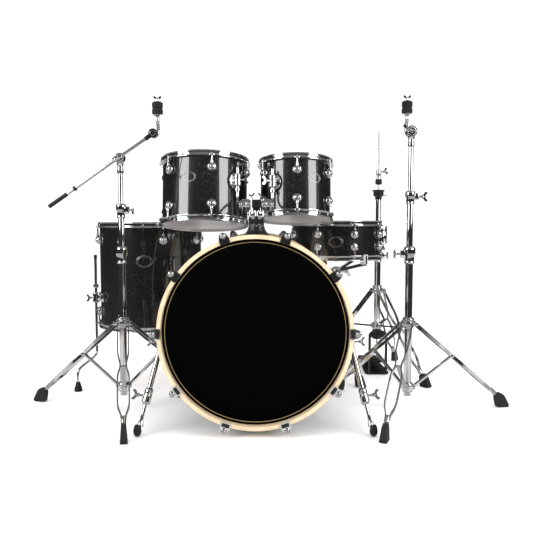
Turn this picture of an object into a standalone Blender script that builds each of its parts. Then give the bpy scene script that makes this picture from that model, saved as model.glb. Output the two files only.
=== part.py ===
"""Acoustic drum kit: bass drum, two rack toms, floor tom and snare on their stands,
a hi-hat stand and two cymbal stands. Metres, +Z up, audience side at -Y.

The layout is measured from the bass drum: x = 0 on its axis, y = 0 at its front hoop,
z = 0 on the floor. At the end everything is moved so that the origin is the bottom
centre of the whole kit's box.
"""

import math

import bmesh
import bpy
from mathutils import Matrix, Vector

# ---------------------------------------------------------------- driving dimensions
GAP = 0.0003
SHELL_WALL = 0.0075
ROUND = 36
BASS_ROUND = 44
ROD_SIDES = 8
TUBE_SIDES = 12

BASS_RADIUS = 0.2794
BASS_DEPTH = 0.4572
BASS_CENTRE_Z = 0.3165
BASS_HOOP_RADIUS = 0.2955
BASS_HOOP_DEPTH = 0.0380
BASS_HEAD_RECESS = 0.0240

HOOP_HEIGHT = 0.0215
HOOP_RISE = 0.0080
HEAD_WALL = 0.0035
HEAD_FILM = 0.0010
HEAD_SKIRT = 0.0090

RACK_Y = 0.462
RACK_TILT = math.radians(-8.0)
RACK_TOMS = {
    # name: radius, depth, centre x, centre z, bracket azimuth, bracket height on shell
    "left": (0.1524, 0.2286, -0.193, 0.755, math.radians(-43.8), 0.023),
    "right": (0.1270, 0.2032, 0.1375, 0.764, math.radians(-125.4), 0.009),
}
FLOOR_TOM = {"radius": 0.2032, "depth": 0.4064, "centre": (-0.444, 0.742, 0.4387)}
SNARE = {"radius": 0.1778, "depth": 0.1397, "centre": (0.3162, 0.745, 0.5780)}

MOUNT_Y = 0.200
MOUNT_TOP_Z = 0.6845
POST_RADIUS = 0.0125
TILTER_Z = 0.705
TILTER_RADIUS = 0.0195
TILTER_INNER_X = 0.0235
TILTER_OUTER_X = 0.0560
ARM_RADIUS = 0.00525
BRACKET_REACH = 0.0205

SPUR_FOOT = Vector((0.362, 0.014, 0.0))
SPUR_PIVOT = Vector((0.2985, 0.120, 0.272))
SPUR_SPLIT = 0.60

LEG_ROD_RADIUS = 0.0050
FLOOR_LEGS = {
    # name: azimuth of the upright, azimuth of the foot
    "left": (-152.0, -141.6),
    "middle": (-58.0, -61.0),
    "rear": (77.0, 77.0),
}
FLOOR_LEG_REACH = 0.0245
FLOOR_LEG_FOOT_REACH = 0.1180
FLOOR_LEG_TOP_Z = 0.520
FLOOR_LEG_KNEE_Z = 0.1240
FLOOR_LEG_ANKLE_Z = 0.0830
FLOOR_LEG_FOOT_TOP_Z = 0.0340
LEG_BEND = 0.0140

BASE_TUBE = (0.0127, 0.0109)
MIDDLE_TUBE = (0.0104, 0.0086)
TOP_TUBE = 0.0081
CLAMP_RADIUS = 0.0200
INSERTED = 0.230

RIGHT_STAND = {"axis": (0.5186, 0.292), "reach": 0.346, "azimuth": 7.0}
LEFT_STAND = {"axis": (-0.4630, 0.302), "reach": 0.345, "azimuth": -77.5}
HIHAT_STAND = {"axis": (0.5040, 0.843), "reach": 0.285, "azimuth": -57.0}
SNARE_STAND = {"axis": (0.3162, 0.745), "reach": 0.170, "azimuth": -60.0}
BASKET_AZIMUTHS = (-61.0, 59.0, 179.0)

CYMBAL_HUB_Z = 0.303
CYMBAL_COLLAR_Z = 0.082
FIRST_JOINT_Z = (0.508, 0.567)
RIGHT_SECOND_JOINT_Z = (0.710, 0.7545)
LEFT_SECOND_JOINT_Z = (0.663, 0.712)
RIGHT_TILTER_Z = 0.953
LEFT_TILTER_Z = 0.865
RIGHT_TILTER_RADIUS = 0.0185
LEFT_TILTER_RADIUS = 0.0150
FELT_RADIUS = 0.0182
FELT_HEIGHT = 0.0400
BOOM_START = Vector((-0.697, 0.270, 0.701))
BOOM_END = Vector((-0.344, 0.270, 0.944))
BOOM_RADIUS = 0.0050
BOOM_GRIP_RADIUS = 0.0068

# ---------------------------------------------------------------- materials
FINISHES = {
    # name: colour, roughness, metallic
    "black_sparkle_wrap": ((0.010, 0.010, 0.011), 0.22, 0.0),
    "maple_hoop": ((0.72, 0.52, 0.33), 0.42, 0.0),
    "chrome": ((0.86, 0.86, 0.87), 0.10, 1.0),
    "black_film": ((0.008, 0.008, 0.009), 0.28, 0.0),
    "smoke_film": ((0.30, 0.27, 0.26), 0.30, 0.0),
    "coated_film": ((0.82, 0.81, 0.78), 0.55, 0.0),
    "black_felt": ((0.012, 0.012, 0.012), 0.95, 0.0),
    "black_steel": ((0.016, 0.016, 0.017), 0.38, 0.3),
}


def material(name):
    """The Principled material of that finish, made once."""
    found = bpy.data.materials.get(name)
    if found:
        return found
    colour, roughness, metallic = FINISHES[name]
    made = bpy.data.materials.new(name)
    made.use_nodes = True
    shader = made.node_tree.nodes["Principled BSDF"]
    shader.inputs["Base Color"].default_value = (*colour, 1.0)
    shader.inputs["Roughness"].default_value = roughness
    shader.inputs["Metallic"].default_value = metallic
    return made


# ---------------------------------------------------------------- shapes
def place(origin=(0, 0, 0), direction=(0, 0, 1)):
    """A matrix that puts local +Z along direction, with its origin at origin."""
    turn = Vector(direction).normalized().to_track_quat("Z", "Y").to_matrix().to_4x4()
    return Matrix.Translation(origin) @ turn


def heading(degrees):
    """The level unit vector at that azimuth, 0 along +X and 90 along +Y."""
    return Vector((math.cos(math.radians(degrees)), math.sin(math.radians(degrees)), 0))


def turned(profile, sides, matrix=None, phase=0.0):
    """A closed solid of revolution about local Z from (radius, height) pairs.

    A profile that starts and ends on the axis closes there; any other one is a ring.
    """
    shape = bmesh.new()
    rows = []
    for radius, height in profile:
        if radius < 1e-9:
            rows.append([shape.verts.new((0, 0, height))] * sides)
            continue
        angles = [phase + 2 * math.pi * i / sides for i in range(sides)]
        rows.append([
            shape.verts.new((radius * math.cos(a), radius * math.sin(a), height))
            for a in angles
        ])
    is_ring = profile[0][0] > 1e-9
    count = len(rows) if is_ring else len(rows) - 1
    for k in range(count):
        low, high = rows[k], rows[(k + 1) % len(rows)]
        for i in range(sides):
            j = (i + 1) % sides
            corners = [low[i], low[j], high[j], high[i]]
            corners = list(dict.fromkeys(corners))
            if len(corners) > 2:
                shape.faces.new(corners)
    return settled(shape, matrix)


def settled(shape, matrix=None):
    """The same bmesh, moved by matrix, with every face turned outward."""
    if matrix is not None:
        shape.transform(matrix)
    bmesh.ops.recalc_face_normals(shape, faces=shape.faces[:])
    return shape


def rod(start, end, radius, sides=ROD_SIDES, end_radius=None):
    """A solid round bar between two points, tapered when end_radius is given."""
    start, end = Vector(start), Vector(end)
    length = (end - start).length
    far = radius if end_radius is None else end_radius
    profile = [(0, 0), (radius, 0), (far, length), (0, length)]
    return turned(profile, sides, place(start, end - start), math.pi / sides)


def block(centre, size, matrix=None):
    """A box with its centre and full size given in the frame of matrix."""
    shape = bmesh.new()
    bmesh.ops.create_cube(shape, size=1.0)
    shape.transform(Matrix.Translation(centre) @ Matrix.Diagonal((*size, 1.0)))
    return settled(shape, matrix)


def bar(start, end, width, height, side=(0, 0, 1)):
    """A flat bar between two points; side points across its width."""
    start, end = Vector(start), Vector(end)
    along = (end - start).normalized()
    across = (Vector(side) - along * Vector(side).dot(along)).normalized()
    normal = along.cross(across)
    turn = Matrix((across, normal, along)).transposed().to_4x4()
    middle = Matrix.Translation((start + end) / 2) @ turn
    return block((0, 0, 0), (width, height, (end - start).length), middle)


def bent_rod(points, radius, sides=ROD_SIDES):
    """A round bar along a few points, mitred at each bend."""
    points = [Vector(p) for p in points]
    shape = bmesh.new()
    rings = []
    across = None
    for k, point in enumerate(points):
        before = (point - points[max(k - 1, 0)]).normalized()
        after = (points[min(k + 1, len(points) - 1)] - point).normalized()
        along = (before + after).normalized()
        if across is None:
            across = along.orthogonal().normalized()
        across = (across - along * across.dot(along)).normalized()
        up = along.cross(across)
        cosine = max(along.dot(after if after.length else before), 0.5)
        bend = (after - before)
        ring = []
        for i in range(sides):
            angle = 2 * math.pi * (i + 0.5) / sides
            offset = across * math.cos(angle) + up * math.sin(angle)
            if bend.length > 1e-6:
                lean = bend.normalized()
                offset += lean * offset.dot(lean) * (1 / cosine - 1)
            ring.append(shape.verts.new(point + offset * radius))
        rings.append(ring)
    for low, high in zip(rings, rings[1:]):
        for i in range(sides):
            j = (i + 1) % sides
            shape.faces.new((low[i], low[j], high[j], high[i]))
    shape.faces.new(rings[0][::-1])
    shape.faces.new(rings[-1])
    return settled(shape)


# ---------------------------------------------------------------- objects
def make_object(name, shape, finish, origin=(0, 0, 0)):
    """One named object whose origin is at the given point."""
    shape.transform(Matrix.Translation(-Vector(origin)))
    mesh = bpy.data.meshes.new(name)
    shape.to_mesh(mesh)
    shape.free()
    mesh.shade_smooth()
    mesh.set_sharp_from_angle(angle=math.radians(35))
    mesh.materials.append(material(finish))
    made = bpy.data.objects.new(name, mesh)
    made.location = origin
    bpy.context.scene.collection.objects.link(made)
    return made


def helper_collection(name, shapes, finish):
    """A collection of hidden cutter or joiner objects for one Boolean."""
    group = bpy.data.collections.new(name)
    bpy.context.scene.collection.children.link(group)
    for k, shape in enumerate(shapes):
        helper = make_object(f"{name}_{k}", shape, finish)
        bpy.context.scene.collection.objects.unlink(helper)
        group.objects.link(helper)
        helper.hide_render = True
        helper.display_type = "WIRE"
    return group


def welded(name, shapes, finish, origin=(0, 0, 0), cut=()):
    """One closed body from overlapping shapes, less the shapes in cut."""
    first, rest = shapes[0], shapes[1:]
    made = make_object(name, first, finish, origin)
    if rest:
        union = made.modifiers.new("weld", "BOOLEAN")
        union.operation = "UNION"
        union.operand_type = "COLLECTION"
        union.collection = helper_collection(f"{name}_weld", rest, finish)
    if cut:
        remove = made.modifiers.new("bore", "BOOLEAN")
        remove.operation = "DIFFERENCE"
        remove.operand_type = "COLLECTION"
        remove.collection = helper_collection(f"{name}_cut", cut, finish)
    return made


# ---------------------------------------------------------------- drums
def shell_profile(radius, depth):
    inner = radius - SHELL_WALL
    half = depth / 2
    return [(radius, half), (radius, -half), (inner, -half), (inner, half)]


def head_profile(radius, edge):
    """A film over the bearing edge at height edge, with its rim hanging outside it."""
    inner = radius + GAP
    outer = radius + HEAD_WALL
    film = edge + GAP
    return [
        (0, film + HEAD_FILM),
        (outer, film + HEAD_FILM),
        (outer, film - HEAD_SKIRT),
        (inner, film - HEAD_SKIRT),
        (inner, film),
        (0, film),
    ]


def hoop_profile(radius, edge):
    """A flanged steel hoop: an upright wall with a lip out at its lower edge."""
    inner = radius + HEAD_WALL + GAP
    outer = inner + 0.0023
    top = edge + HOOP_RISE
    low = top - HOOP_HEIGHT
    ear = radius + 0.0130
    return [(outer, top), (outer, low + 0.0028), (ear, low + 0.0028), (ear, low),
            (inner, low), (inner, top)]


def drum(prefix, radius, depth, matrix, sides=ROUND):
    """Shell, two heads and two hoops; the matrix has its origin at the shell's centre."""
    make_object(f"{prefix}_shell", turned(shell_profile(radius, depth), sides, matrix),
                "black_sparkle_wrap")
    flip = matrix @ Matrix.Rotation(math.pi, 4, "X")
    half = depth / 2
    for side, frame, film in (("batter", matrix, "coated_film"), ("reso", flip, "smoke_film")):
        make_object(f"{prefix}_{side}_head", turned(head_profile(radius, half), sides, frame),
                    film)
        make_object(f"{prefix}_{side}_hoop", turned(hoop_profile(radius, half), sides, frame),
                    "chrome")


def bass_frame():
    """Local +Z runs from the batter side to the front of the bass drum."""
    edge = BASS_HEAD_RECESS + HEAD_FILM + GAP
    centre = (0, edge + BASS_DEPTH / 2, BASS_CENTRE_Z)
    return place(centre, (0, -1, 0))


def bass_drum():
    frame = bass_frame()
    half = BASS_DEPTH / 2
    boss = [spur_boss(side) for side in (-1, 1)]
    shell = turned(shell_profile(BASS_RADIUS, BASS_DEPTH), BASS_ROUND, frame)
    welded("bass_shell", [shell, *boss], "black_sparkle_wrap",
           cut=[rod((0, MOUNT_Y, 0.560), (0, MOUNT_Y, 0.640), POST_RADIUS + 0.002, TUBE_SIDES)])
    back = frame @ Matrix.Rotation(math.pi, 4, "X")
    for side, matrix in (("front", frame), ("batter", back)):
        head = turned(head_profile(BASS_RADIUS, half), BASS_ROUND, matrix)
        make_object(f"bass_{side}_head", head, "black_film" if side == "front" else "coated_film")
        inner = BASS_RADIUS + HEAD_WALL + GAP
        front = half + HEAD_FILM + GAP + BASS_HEAD_RECESS
        ring = [(BASS_HOOP_RADIUS, front), (BASS_HOOP_RADIUS, front - BASS_HOOP_DEPTH),
                (inner, front - BASS_HOOP_DEPTH), (inner, front)]
        make_object(f"bass_{side}_hoop", turned(ring, BASS_ROUND, matrix), "maple_hoop")


def spur_boss(side):
    """The pivot boss that holds one spur on the side of the bass shell."""
    pivot = Vector((side * SPUR_PIVOT.x, SPUR_PIVOT.y, SPUR_PIVOT.z))
    inner = Vector((side * (BASS_RADIUS - 0.005), pivot.y, pivot.z))
    return rod(inner, (side * (SPUR_PIVOT.x - 0.0130), pivot.y, pivot.z), 0.024, TUBE_SIDES)


def spurs():
    for name, side in (("left_spur", -1), ("right_spur", 1)):
        flip = Matrix.Diagonal((side, 1, 1, 1))
        pivot = flip @ SPUR_PIVOT
        foot = flip @ SPUR_FOOT
        split = pivot.lerp(foot, SPUR_SPLIT)
        tip = pivot.lerp(foot, 0.97)
        tip.z = 0.011
        along = (foot - pivot).normalized()
        shapes = [
            rod(pivot - along * 0.012, split, 0.0085),
            rod((side * (SPUR_PIVOT.x - 0.0127), pivot.y, pivot.z),
                (side * (SPUR_PIVOT.x + 0.0120), pivot.y, pivot.z), 0.0215, TUBE_SIDES),
            rod(split - along * 0.020, split + along * 0.018, 0.0135),
            rod(split, tip, 0.0055),
            rod((tip.x, tip.y, 0.0), (tip.x, tip.y, 0.034), 0.0120, end_radius=0.0085),
        ]
        welded(name, shapes, "chrome", pivot)


# ---------------------------------------------------------------- tom mount
def tom_mount():
    column = [(0.046, 0.584), (0.046, 0.6045), (0.036, 0.618), (0.027, 0.630),
              (0.027, MOUNT_TOP_Z), (POST_RADIUS + GAP, MOUNT_TOP_Z),
              (POST_RADIUS + GAP, 0.584)]
    at_mount = Matrix.Translation((0, MOUNT_Y, 0))
    shell = turned([(0, -0.3), (BASS_RADIUS + GAP, -0.3), (BASS_RADIUS + GAP, 0.3), (0, 0.3)],
                   BASS_ROUND, bass_frame())
    welded("tom_mount_base", [turned(column, 24, at_mount)], "chrome", (0, MOUNT_Y, 0.6), [shell])
    head = block((0, MOUNT_Y, 0.7085), (0.028, 0.032, 0.026))
    post = rod((0, MOUNT_Y, 0.570), (0, MOUNT_Y, 0.705), POST_RADIUS - GAP, TUBE_SIDES)
    stub = rod((-TILTER_INNER_X + GAP, MOUNT_Y, TILTER_Z), (TILTER_INNER_X - GAP, MOUNT_Y, TILTER_Z),
               0.0095, TUBE_SIDES)
    welded("tom_mount_post", [post, head, stub], "chrome", (0, MOUNT_Y, 0.6))


def tom_frame(side):
    radius, depth, x, z, azimuth, height = RACK_TOMS[side]
    return Matrix.Translation((x, RACK_Y, z)) @ Matrix.Rotation(RACK_TILT, 4, "X")


def bracket_axis(side):
    """Foot and top of the L-rod's upright, on the axis that its tom swivels round."""
    radius, azimuth, height = (RACK_TOMS[side][k] for k in (0, 4, 5))
    frame = tom_frame(side)
    reach = radius + BRACKET_REACH
    foot = Vector((reach * math.cos(azimuth), reach * math.sin(azimuth), height))
    return frame @ foot, (frame.to_3x3() @ Vector((0, 0, 1))).normalized()


def tom_arm(side, sign):
    middle, up = bracket_axis(side)
    bend = middle - up * 0.075
    pivot = Vector((sign * 0.5 * (TILTER_INNER_X + TILTER_OUTER_X), MOUNT_Y, TILTER_Z))
    disc = rod((sign * TILTER_INNER_X, MOUNT_Y, TILTER_Z), (sign * TILTER_OUTER_X, MOUNT_Y, TILTER_Z),
               TILTER_RADIUS, 16)
    path = [pivot, bend + (pivot - bend).normalized() * 0.022, bend + up * 0.022,
            middle + up * 0.040]
    welded(f"{side}_tom_arm", [disc, bent_rod(path, ARM_RADIUS)], "chrome", pivot)


def tom_bracket(side):
    radius, azimuth, height = (RACK_TOMS[side][k] for k in (0, 4, 5))
    middle, up = bracket_axis(side)
    frame = tom_frame(side)
    turn = Matrix.Rotation(azimuth, 4, "Z")
    plate = block((radius + 0.0020, 0, height), (0.0120, 0.050, 0.056), frame @ turn)
    neck = block((radius + 0.0100, 0, height), (0.0160, 0.020, 0.030), frame @ turn)
    collar = rod(middle - up * 0.021, middle + up * 0.021, 0.0130, TUBE_SIDES)
    bore = rod(middle - up * 0.040, middle + up * 0.040, 0.0058, 16)
    wall = turned([(0, -0.2), (radius + GAP, -0.2), (radius + GAP, 0.2), (0, 0.2)], ROUND, frame)
    welded(f"{side}_tom_bracket", [collar, neck, plate], "chrome", middle, [bore, wall])


def rack_toms():
    for side, sign in (("left", -1), ("right", 1)):
        radius, depth = RACK_TOMS[side][:2]
        drum(f"{side}_tom", radius, depth, tom_frame(side))
        tom_arm(side, sign)
        tom_bracket(side)


# ---------------------------------------------------------------- floor tom
def floor_tom():
    centre = Vector(FLOOR_TOM["centre"])
    radius = FLOOR_TOM["radius"]
    drum("floor_tom", radius, FLOOR_TOM["depth"], Matrix.Translation(centre))
    for name, (azimuth, foot_azimuth) in FLOOR_LEGS.items():
        upright = centre + heading(azimuth) * (radius + FLOOR_LEG_REACH)
        foot = centre + heading(foot_azimuth) * (radius + FLOOR_LEG_FOOT_REACH)
        top = Vector((upright.x, upright.y, FLOOR_LEG_TOP_Z))
        knee = Vector((upright.x, upright.y, FLOOR_LEG_KNEE_Z))
        ankle = Vector((foot.x, foot.y, FLOOR_LEG_ANKLE_Z))
        shin = (ankle - knee).normalized() * LEG_BEND
        path = [top, knee + Vector((0, 0, LEG_BEND)), knee + shin, ankle - shin,
                ankle - Vector((0, 0, LEG_BEND)), Vector((foot.x, foot.y, 0.012))]
        shapes = [bent_rod(path, LEG_ROD_RADIUS),
                  rod((foot.x, foot.y, 0.0), (foot.x, foot.y, FLOOR_LEG_FOOT_TOP_Z), 0.0150,
                      end_radius=0.0085)]
        welded(f"floor_tom_{name}_leg", shapes, "chrome", top)


# ---------------------------------------------------------------- snare
def snare_drum():
    centre = Vector(SNARE["centre"])
    radius = SNARE["radius"]
    half = SNARE["depth"] / 2
    drum("snare", radius, SNARE["depth"], Matrix.Translation(centre))
    body_x = centre.x + radius
    turn = Matrix.Translation((body_x, centre.y - 0.012, centre.z))
    wall = turned([(0, -0.1), (radius + GAP, -0.1), (radius + GAP, 0.1), (0, 0.1)], ROUND,
                  Matrix.Translation(centre))
    body = [block((0.0100, 0, 0.004), (0.0200, 0.030, 0.062), turn),
            block((0.0130, 0, -0.034), (0.0140, 0.022, 0.020), turn)]
    welded("snare_strainer", body, "chrome", turn.translation, [wall])
    lever = block((0.0245, 0, 0.020), (0.0060, 0.012, 0.072), turn)
    make_object("snare_throw_off_lever", lever, "chrome",
                (body_x + 0.0245, centre.y - 0.012, centre.z - 0.014))
    low = centre.z - half - GAP - HEAD_FILM - GAP
    wires = block((centre.x, centre.y, low - 0.0011), (0.300, 0.044, 0.0020))
    make_object("snare_wires", wires, "chrome", centre)


# ---------------------------------------------------------------- stands
def tripod_shapes(stand, hub_z, collar_z, width=0.034, tube=BASE_TUBE[0]):
    """Legs with two struts each, their braces, the hub, the lower collar and the feet."""
    x, y = stand["axis"]
    hub = Vector((x, y, hub_z))
    collar = Vector((x, y, collar_z))
    shapes = [rod(hub + Vector((0, 0, -0.014)), hub + Vector((0, 0, 0.016)), 0.0300, TUBE_SIDES),
              rod(collar + Vector((0, 0, -0.015)), collar + Vector((0, 0, 0.015)), 0.0215,
                  TUBE_SIDES)]
    for k in range(3):
        out = heading(stand["azimuth"] + 120 * k)
        across = Vector((-out.y, out.x, 0))
        top = hub + out * 0.020
        ankle = Vector((x, y, 0)) + out * (stand["reach"] - 0.012) + Vector((0, 0, 0.032))
        for side in (-1, 1):
            shapes.append(bar(top + across * side * width / 2, ankle + across * side * 0.0060,
                              0.0060, 0.0130, across))
        pivot = top.lerp(ankle, 0.42)
        shapes.append(bar(pivot - across * 0.0150, pivot + across * 0.0150, 0.0100, 0.0100))
        shapes.append(bar(collar + out * 0.010, pivot + (pivot - collar).normalized() * 0.004,
                          0.0130, 0.0080, across))
        slope = (ankle - top).normalized()
        heel = ankle - slope * 0.020
        toe = ankle + slope * 0.020
        shapes.append(rod(heel, toe, 0.0125, ROD_SIDES, 0.0120))
        pad = Vector((x, y, 0)) + out * stand["reach"]
        shapes.append(rod((pad.x, pad.y, 0.0), (pad.x, pad.y, 0.026), 0.0125, ROD_SIDES, 0.0100))
    return shapes


def tube_bore(axis, low, high, radius):
    return rod((*axis, low), (*axis, high), radius, TUBE_SIDES)


def telescopic_base(name, stand, hub_z, collar_z, clamp, foot_z=0.050):
    """A tripod with its lower tube, bored from the top for the next tube."""
    axis = stand["axis"]
    outer, bore = BASE_TUBE
    shapes = [rod((*axis, foot_z), (*axis, clamp[1] - 0.002), outer, TUBE_SIDES),
              rod((*axis, clamp[0]), (*axis, clamp[1]), CLAMP_RADIUS, TUBE_SIDES),
              *tripod_shapes(stand, hub_z, collar_z)]
    welded(name, shapes, "chrome", (*axis, 0),
           [tube_bore(axis, clamp[0] - INSERTED - 0.010, clamp[1] + 0.01, bore)])


def middle_tube(name, axis, low_clamp, high_clamp):
    outer, bore = MIDDLE_TUBE
    shapes = [rod((*axis, low_clamp[0] - INSERTED), (*axis, high_clamp[1] - 0.002), outer, TUBE_SIDES),
              rod((*axis, high_clamp[0]), (*axis, high_clamp[1]), 0.0170, TUBE_SIDES)]
    welded(name, shapes, "chrome", (*axis, low_clamp[1]),
           [tube_bore(axis, high_clamp[0] - INSERTED - 0.010, high_clamp[1] + 0.01, bore)])


def cymbal_rod(name, pivot, offset, height, disc_radius):
    """The ratchet half that carries the cymbal rod and its seat.

    The rod rises from the side of the disc at offset in x, behind the fixed half, and
    steps forward over it. Its seat is at height above the pivot.
    """
    foot = pivot + Vector((offset, 0.0150, -0.0030))
    over = pivot + Vector((offset, 0.0, 0.036))
    seat = pivot + Vector((offset, 0.0, height))
    up = Vector((0, 0, 1))
    shapes = [rod(pivot + Vector((0, 0.0085, 0)), pivot + Vector((0, 0.0195, 0)), disc_radius, 16),
              bent_rod([foot, foot + up * 0.0210, over, seat - up * 0.004], 0.0058),
              rod(over, seat + up * (FELT_HEIGHT + 0.004), 0.0038),
              rod(seat - up * 0.010, seat, 0.0080, TUBE_SIDES, 0.0140)]
    welded(name, shapes, "chrome", pivot)
    return seat


def cymbal_felts(name, seat):
    ring = [(FELT_RADIUS, FELT_HEIGHT), (FELT_RADIUS, 0), (0.0041, 0), (0.0041, FELT_HEIGHT)]
    place_on = Matrix.Translation(seat + Vector((0, 0, GAP)))
    make_object(name, turned(ring, 20, place_on), "black_felt", seat)


def right_cymbal_stand():
    axis = RIGHT_STAND["axis"]
    telescopic_base("right_stand_base", RIGHT_STAND, CYMBAL_HUB_Z, CYMBAL_COLLAR_Z, FIRST_JOINT_Z)
    middle_tube("right_stand_middle_tube", axis, FIRST_JOINT_Z, RIGHT_SECOND_JOINT_Z)
    pivot = Vector((*axis, RIGHT_TILTER_Z))
    top = [rod((*axis, RIGHT_SECOND_JOINT_Z[0] - INSERTED), (*axis, RIGHT_TILTER_Z - 0.0160),
               TOP_TUBE, TUBE_SIDES),
           rod(pivot + Vector((0, -0.0145, 0)), pivot + Vector((0, 0.0080, 0)),
               RIGHT_TILTER_RADIUS, 16)]
    welded("right_stand_top_tube", top, "chrome", pivot)
    seat = cymbal_rod("right_cymbal_tilter", pivot, -0.0155, 0.0590, RIGHT_TILTER_RADIUS)
    cymbal_felts("right_cymbal_felts", seat)


def left_cymbal_stand():
    axis = LEFT_STAND["axis"]
    telescopic_base("left_stand_base", LEFT_STAND, CYMBAL_HUB_Z, CYMBAL_COLLAR_Z, FIRST_JOINT_Z)
    middle_tube("left_stand_middle_tube", axis, FIRST_JOINT_Z, LEFT_SECOND_JOINT_Z)
    pivot = Vector((*axis, LEFT_TILTER_Z))
    top = [rod((*axis, LEFT_SECOND_JOINT_Z[0] - INSERTED), (*axis, LEFT_TILTER_Z - 0.014),
               TOP_TUBE, TUBE_SIDES),
           rod(pivot + Vector((0, -0.0120, 0)), pivot + Vector((0, 0.0085, 0)), 0.0175, 16)]
    welded("left_stand_top_tube", top, "chrome", pivot)
    along = (BOOM_END - BOOM_START).normalized()
    clamp_at = pivot + Vector((0, BOOM_START.y - pivot.y, 0))
    reach = (clamp_at - BOOM_START).dot(along)
    nearest = BOOM_START + along * reach
    holder = [rod(nearest + Vector((0, -0.0100, 0)), (nearest.x, pivot.y - 0.0123, nearest.z),
                  0.0160, 16)]
    bore = rod(nearest - along * 0.04, nearest + along * 0.04, BOOM_RADIUS + 2 * GAP)
    welded("left_boom_clamp", holder, "chrome", pivot, [bore])
    boom = [rod(BOOM_START, BOOM_START + along * 0.075, BOOM_GRIP_RADIUS, TUBE_SIDES),
            rod(BOOM_START + along * 0.070, BOOM_END - along * 0.004, BOOM_RADIUS),
            rod(BOOM_END + Vector((0, -0.0125, 0)), BOOM_END + Vector((0, 0.0080, 0)),
                LEFT_TILTER_RADIUS, 16)]
    welded("left_boom_arm", boom, "chrome", nearest)
    seat = cymbal_rod("left_cymbal_tilter", BOOM_END, 0.0150, 0.0610, LEFT_TILTER_RADIUS)
    cymbal_felts("left_cymbal_felts", seat)


def snare_stand():
    axis = SNARE_STAND["axis"]
    clamp = (0.305, 0.345)
    shapes = [rod((*axis, 0.050), (*axis, clamp[1] - 0.002), BASE_TUBE[0], TUBE_SIDES),
              rod((*axis, clamp[0]), (*axis, clamp[1]), CLAMP_RADIUS, TUBE_SIDES),
              *tripod_shapes(SNARE_STAND, 0.225, 0.075, 0.030)]
    welded("snare_stand_base", shapes, "chrome", (*axis, 0),
           [tube_bore(axis, 0.200, clamp[1] + 0.01, BASE_TUBE[1])])
    top_z = 0.415
    upper = [rod((*axis, 0.215), (*axis, top_z), MIDDLE_TUBE[0], TUBE_SIDES),
             block((*axis, top_z + 0.006), (0.020, 0.040, 0.024))]
    welded("snare_stand_upper_tube", upper, "chrome", (*axis, top_z))
    centre = Vector(SNARE["centre"])
    hub = Vector((*axis, 0.452))
    rim = SNARE["radius"] + 0.0130 + 0.0035
    floor_z = centre.z - SNARE["depth"] / 2 - HOOP_RISE
    basket = [rod(hub + Vector((0, 0, -0.0150)), hub + Vector((0, 0, 0.015)), 0.0210, TUBE_SIDES)]
    for degrees in BASKET_AZIMUTHS:
        out = heading(degrees)
        across = Vector((-out.y, out.x, 0))
        elbow = Vector((centre.x, centre.y, floor_z - 0.0120)) + out * (rim + 0.001)
        tip = elbow + Vector((0, 0, 0.036))
        basket.append(bar(hub + out * 0.010, elbow + out * 0.004, 0.0120, 0.0070, across))
        basket.append(bar(elbow - Vector((0, 0, 0.004)) + out * 0.001, tip + out * 0.001,
                          0.0150, 0.0050, across))
    welded("snare_stand_basket", basket, "chrome", hub)


def hihat_stand():
    axis = HIHAT_STAND["axis"]
    clamp = (0.480, 0.530)
    tube, bore = BASE_TUBE
    shapes = [rod((*axis, 0.150), (*axis, clamp[1] - 0.002), tube, TUBE_SIDES),
              rod((*axis, clamp[0]), (*axis, clamp[1]), 0.0185, TUBE_SIDES),
              *tripod_shapes(HIHAT_STAND, 0.360, 0.207)]
    welded("hihat_base", shapes, "chrome", (*axis, 0),
           [tube_bore(axis, 0.100, clamp[1] + 0.01, bore)])
    seat = [(0.0104, 0.400), (0.0104, 0.744), (0.0140, 0.746), (0.0140, 0.756), (0.0215, 0.762),
            (0.0215, 0.780), (0.0260, 0.781), (0.0260, 0.786), (0.0046, 0.786), (0.0046, 0.400)]
    at_axis = Matrix.Translation((*axis, 0))
    welded("hihat_upper_tube", [turned(seat, TUBE_SIDES, at_axis, math.pi / TUBE_SIDES)],
           "chrome", (*axis, 0.500))
    pull = rod((*axis, 0.110), (*axis, 1.030), 0.0034)
    make_object("hihat_pull_rod", pull, "chrome", (*axis, 0.5))
    clutch = [(0.0140, 0.8090), (0.0140, 0.8280), (0.0090, 0.8285), (0.0090, 0.8700),
              (0.0038, 0.8700), (0.0038, 0.8090)]
    make_object("hihat_clutch", turned(clutch, TUBE_SIDES, at_axis, math.pi / TUBE_SIDES),
                "black_felt", (*axis, 0.84))
    hihat_pedal(axis)


def hihat_pedal(axis):
    x, y = axis
    crossbar = block((x, y - 0.032, 0.172), (0.080, 0.014, 0.024))
    posts = [block((x + side * 0.035, y - 0.032, 0.092), (0.010, 0.013, 0.178))
             for side in (-1, 1)]
    plate = block((x, y + 0.115, 0.005), (0.104, 0.300, 0.010))
    heel = block((x, y + 0.243, 0.016), (0.090, 0.044, 0.016))
    welded("hihat_frame", [plate, crossbar, *posts, heel], "black_steel", (x, y, 0))
    hinge = Vector((x, y + 0.206, 0.026))
    toe = Vector((x, y - 0.004, 0.050))
    board = [bar(hinge, toe, 0.074, 0.0080, (1, 0, 0))]
    welded("hihat_footboard", board, "black_steel", hinge)


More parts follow.
